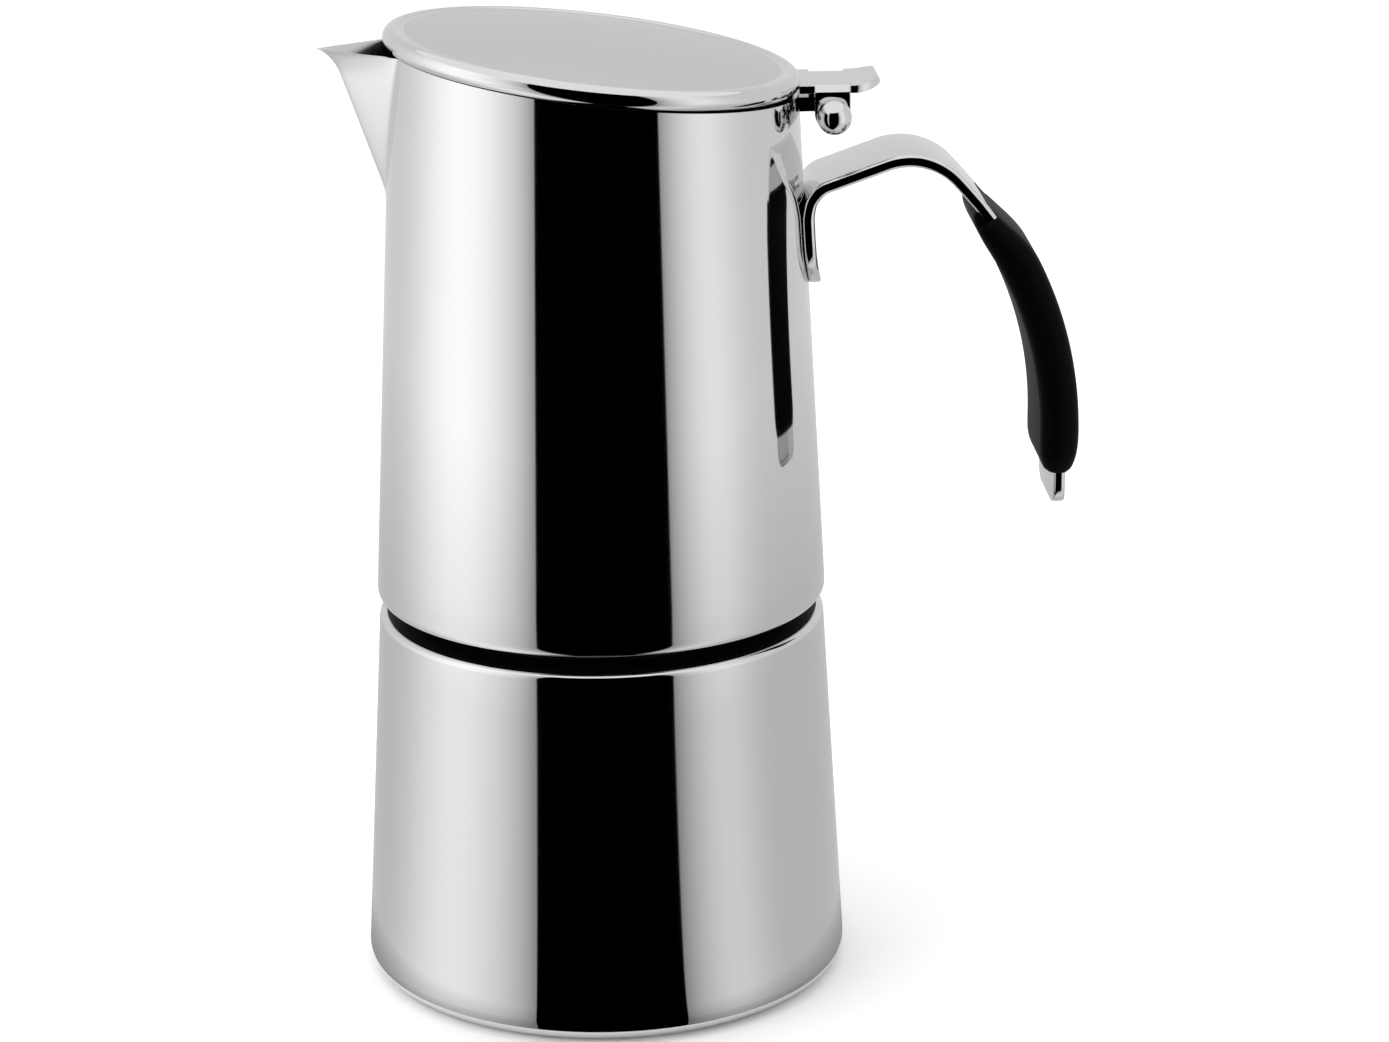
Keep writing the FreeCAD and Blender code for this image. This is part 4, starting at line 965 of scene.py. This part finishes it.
@dataclass
class LightTent:
    """Translucent tent round the pot with a dark gap in front, as is used to photograph polished steel.

    A strong lamp on the left and a weak one on the right light the cloth, which darkens towards the gap.
    """

    pot_radius: float = 46.0
    inner_radius: float = 49.5
    radius: float = 300.0
    height: float = 420.0
    floor_lift: float = 0.4
    floor_rings: tuple[float, ...] = (52.0, 55.0, 60.0, 66.0, 80.0, 110.0, 160.0, 225.0)
    wall_rings: tuple[float, ...] = (5.0, 20.0, 40.0, 70.0, 150.0)
    gap: tuple[float, float] = (-35.0, 34.0)
    cloth_level: float = 0.75
    lamps: tuple[ClothLamp, ...] = (ClothLamp(-80.0, 35.0, 0.6), ClothLamp(60.0, 20.0, 0.3))
    edge_share: float = 0.45
    edge_width: float = 9.0
    low_share: float = 0.8
    foot_level: float = 0.5
    foot_radius: float = 66.0
    low_height: float = 5.0
    high_height: float = 70.0

    def level(self, azimuth: float) -> float:
        """The cloth's brightness in one direction.

        Args:
            azimuth: the direction in degrees, 0 in front.

        Returns:
            The brightness, 0 inside the gap.
        """
        if self.gap[0] < azimuth < self.gap[1]:
            return 0.0
        light = self.cloth_level
        for lamp in self.lamps:
            light += lamp.level * math.exp(-((azimuth - lamp.azimuth) / lamp.spread) ** 2)
        away = min(abs(azimuth - edge) for edge in self.gap)
        return light * (1 - (1 - self.edge_share) * math.exp(-away / self.edge_width))

    def place_of(self, azimuth: float, radius: float) -> float:
        """Where a ray that leaves the pot's wall in one direction stands when it is a radius away.

        Args:
            azimuth: the ray's direction in degrees.
            radius: the distance from the pot's axis.

        Returns:
            The azimuth in radians of that place.
        """
        direction = math.radians(azimuth)
        return direction - math.asin(self.pot_radius / radius * math.sin(direction / 2))

    def material(self) -> bpy.types.Material:
        """Builds the glow: white cloth lit from outside, unlit where the gap is."""
        material = bpy.data.materials.new("tent_cloth")
        material.use_nodes = True
        tree = material.node_tree
        tree.nodes.clear()
        level = add_node(tree, "ShaderNodeAttribute", {"attribute_name": "glow"})
        glow = add_node(tree, "ShaderNodeEmission", {}, {"Strength": level.outputs["Fac"]})
        add_node(tree, "ShaderNodeOutputMaterial", {}, {"Surface": glow.outputs["Emission"]})
        return material

    def build(self) -> None:
        """Builds the tent, which only reflections see."""
        sharp = [edge + step for edge in self.gap for step in (-0.02, 0.02)]
        azimuths = sorted([*(-179.0 + k for k in range(359)), *sharp])
        radii = (self.inner_radius, *self.floor_rings, self.radius)
        outline = [(radius, self.floor_lift) for radius in radii]
        outline += [(self.radius, height) for height in (*self.wall_rings, self.height)]
        vertices, levels = [], []
        for radius, height in outline:
            share = min(1.0, max(0.0, (height - self.low_height) / (self.high_height - self.low_height)))
            foot = min(1.0, max(0.0, (radius - self.inner_radius) / (self.foot_radius - self.inner_radius)))
            for azimuth in azimuths:
                angle = self.place_of(azimuth, radius) - math.pi / 2
                vertices.append(Vector((radius * math.cos(angle), radius * math.sin(angle), height)))
                glow = self.level(azimuth) * (self.low_share + (1 - self.low_share) * share)
                # The glow dims towards the pot's foot: painted shade from the pot on the tent's floor.
                levels.append(glow * (self.foot_level + (1 - self.foot_level) * foot))
        size = len(azimuths)
        faces = [(r * size + i, r * size + (i + 1) % size, (r + 1) * size + (i + 1) % size,
                  (r + 1) * size + i) for r in range(len(outline) - 1) for i in range(size)]
        mesh = bpy.data.meshes.new("light_tent")
        mesh.from_pydata([tuple(v * MM) for v in vertices], [], faces)
        mesh.attributes.new("glow", "FLOAT", "POINT").data.foreach_set("value", levels)
        tent = bpy.data.objects.new("light_tent", mesh)
        bpy.context.scene.collection.objects.link(tent)
        dress(tent, self.material())
        tent.visible_camera = False
        tent.visible_diffuse = False
        tent.visible_shadow = False


@dataclass
class Studio:
    """Wide pale floor, soft light from above and the left, the light tent, and the camera."""

    camera_place: Vector = field(default_factory=lambda: Vector((-20.16, -769.84, 332.7)))
    pitch: float = 17.3
    heading: float = 2.91
    roll: float = -0.49
    lens: float = 103.67
    floor_reach: float = 20000.0

    def build(self) -> None:
        """Builds the stage, the lights and the camera."""
        self.floor()
        LightTent().build()
        self.lights()
        self.camera()

    def floor(self) -> None:
        """Builds the floor, wide enough to meet the room's white far away."""
        reach = self.floor_reach
        corners = ((-reach, -reach), (reach, -reach), (reach, reach), (-reach, reach))
        spots = [Vector((x, y, 0.0)) for x, y in corners]
        piece = mesh_object("floor", spots, [(0, 1, 2, 3)])
        material = bpy.data.materials.new("matt_floor_paper")
        material.use_nodes = True
        shader = material.node_tree.nodes["Principled BSDF"]
        shader.inputs["Base Color"].default_value = linear("#fbfbfb")
        shader.inputs["Roughness"].default_value = 0.95
        dress(piece, material)

    def lights(self) -> None:
        """Adds the softboxes and the even fill of the room."""
        for name, place, size, power in (
                ("left_softbox", (-900.0, -500.0, 700.0), (900.0, 1200.0), 5.0),
                ("top_softbox", (0.0, 200.0, 1400.0), (1500.0, 1500.0), 6.0)):
            light = bpy.data.lights.new(name, "AREA")
            light.shape = "RECTANGLE"
            light.size, light.size_y = size[0] * MM, size[1] * MM
            light.energy = power
            lamp = bpy.data.objects.new(name, light)
            lamp.location = Vector(place) * MM
            aim = Vector((0.0, 0.0, 0.09)) - lamp.location
            lamp.rotation_euler = aim.to_track_quat("-Z", "Y").to_euler()
            lamp.visible_camera = False
            lamp.visible_glossy = False
            bpy.context.scene.collection.objects.link(lamp)
        world = bpy.data.worlds.new("room")
        bpy.context.scene.world = world
        world.use_nodes = True
        world.node_tree.nodes["Background"].inputs["Color"].default_value = linear("#ffffff")
        world.node_tree.nodes["Background"].inputs["Strength"].default_value = 1.0

    def camera(self) -> None:
        """Adds the camera."""
        data = bpy.data.cameras.new("camera")
        data.sensor_width = 36.0
        data.lens = self.lens
        eye = bpy.data.objects.new("camera", data)
        pitch, heading = math.radians(self.pitch), math.radians(self.heading)
        forward = Vector((math.sin(heading) * math.cos(pitch), math.cos(heading) * math.cos(pitch),
                          -math.sin(pitch)))
        right = forward.cross(Vector((0, 0, 1))).normalized()
        up = right.cross(forward)
        roll = math.radians(self.roll)
        turned_right = right * math.cos(roll) + up * math.sin(roll)
        turned_up = up * math.cos(roll) - right * math.sin(roll)
        axes = Matrix((turned_right, turned_up, -forward)).transposed()
        eye.matrix_world = Matrix.Translation(self.camera_place * MM) @ axes.to_4x4()
        bpy.context.scene.collection.objects.link(eye)
        bpy.context.scene.camera = eye


# ------------------------------------------------------------------ the pot


CARRIED = {
    "mirror": ["hinge_bracket", "hinge_ball_front", "hinge_ball_back"],
    "satin": ["base_disc"],
    "inside": ["jug_floor", "column", "column_cap", "funnel_cup", "funnel_stem",
               "funnel_strainer", "filter_plate", "hinge_pin", "valve_nut"],
    # The neck and collar sit in the gap under the jug: their dark steel is painted shade.
    "gap_shade_steel": ["neck_ring", "thread_collar"],
    "seal": ["gasket", "valve_washer"],
    "brass": ["valve_body", "valve_cap", "valve_pin"],
    "spring": ["valve_spring"],
}


def dress_carried(frame: dict, finishes: Finishes) -> None:
    """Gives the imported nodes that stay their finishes.

    Args:
        finishes: the pot's finishes.
    """
    for finish, nodes in CARRIED.items():
        for node in nodes:
            dress(frame["nodes"][node], getattr(finishes, finish))
            LOG.info("%s keeps its packed shape", node)


def main() -> None:
    """Builds the pot around the frame, lights it and places the camera."""
    logging.basicConfig(level=logging.INFO, format="%(name)s: %(message)s")
    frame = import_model()
    bpy.context.scene.view_settings.view_transform = "Standard"
    finishes = Finishes()
    dress_carried(frame, finishes)
    Boiler(finishes).build()
    jug = Jug(finishes)
    jug.build()
    Handle(finishes, jug).build()
    Lid(finishes).build()
    Studio().build()


if __name__ == "__main__":
    main()
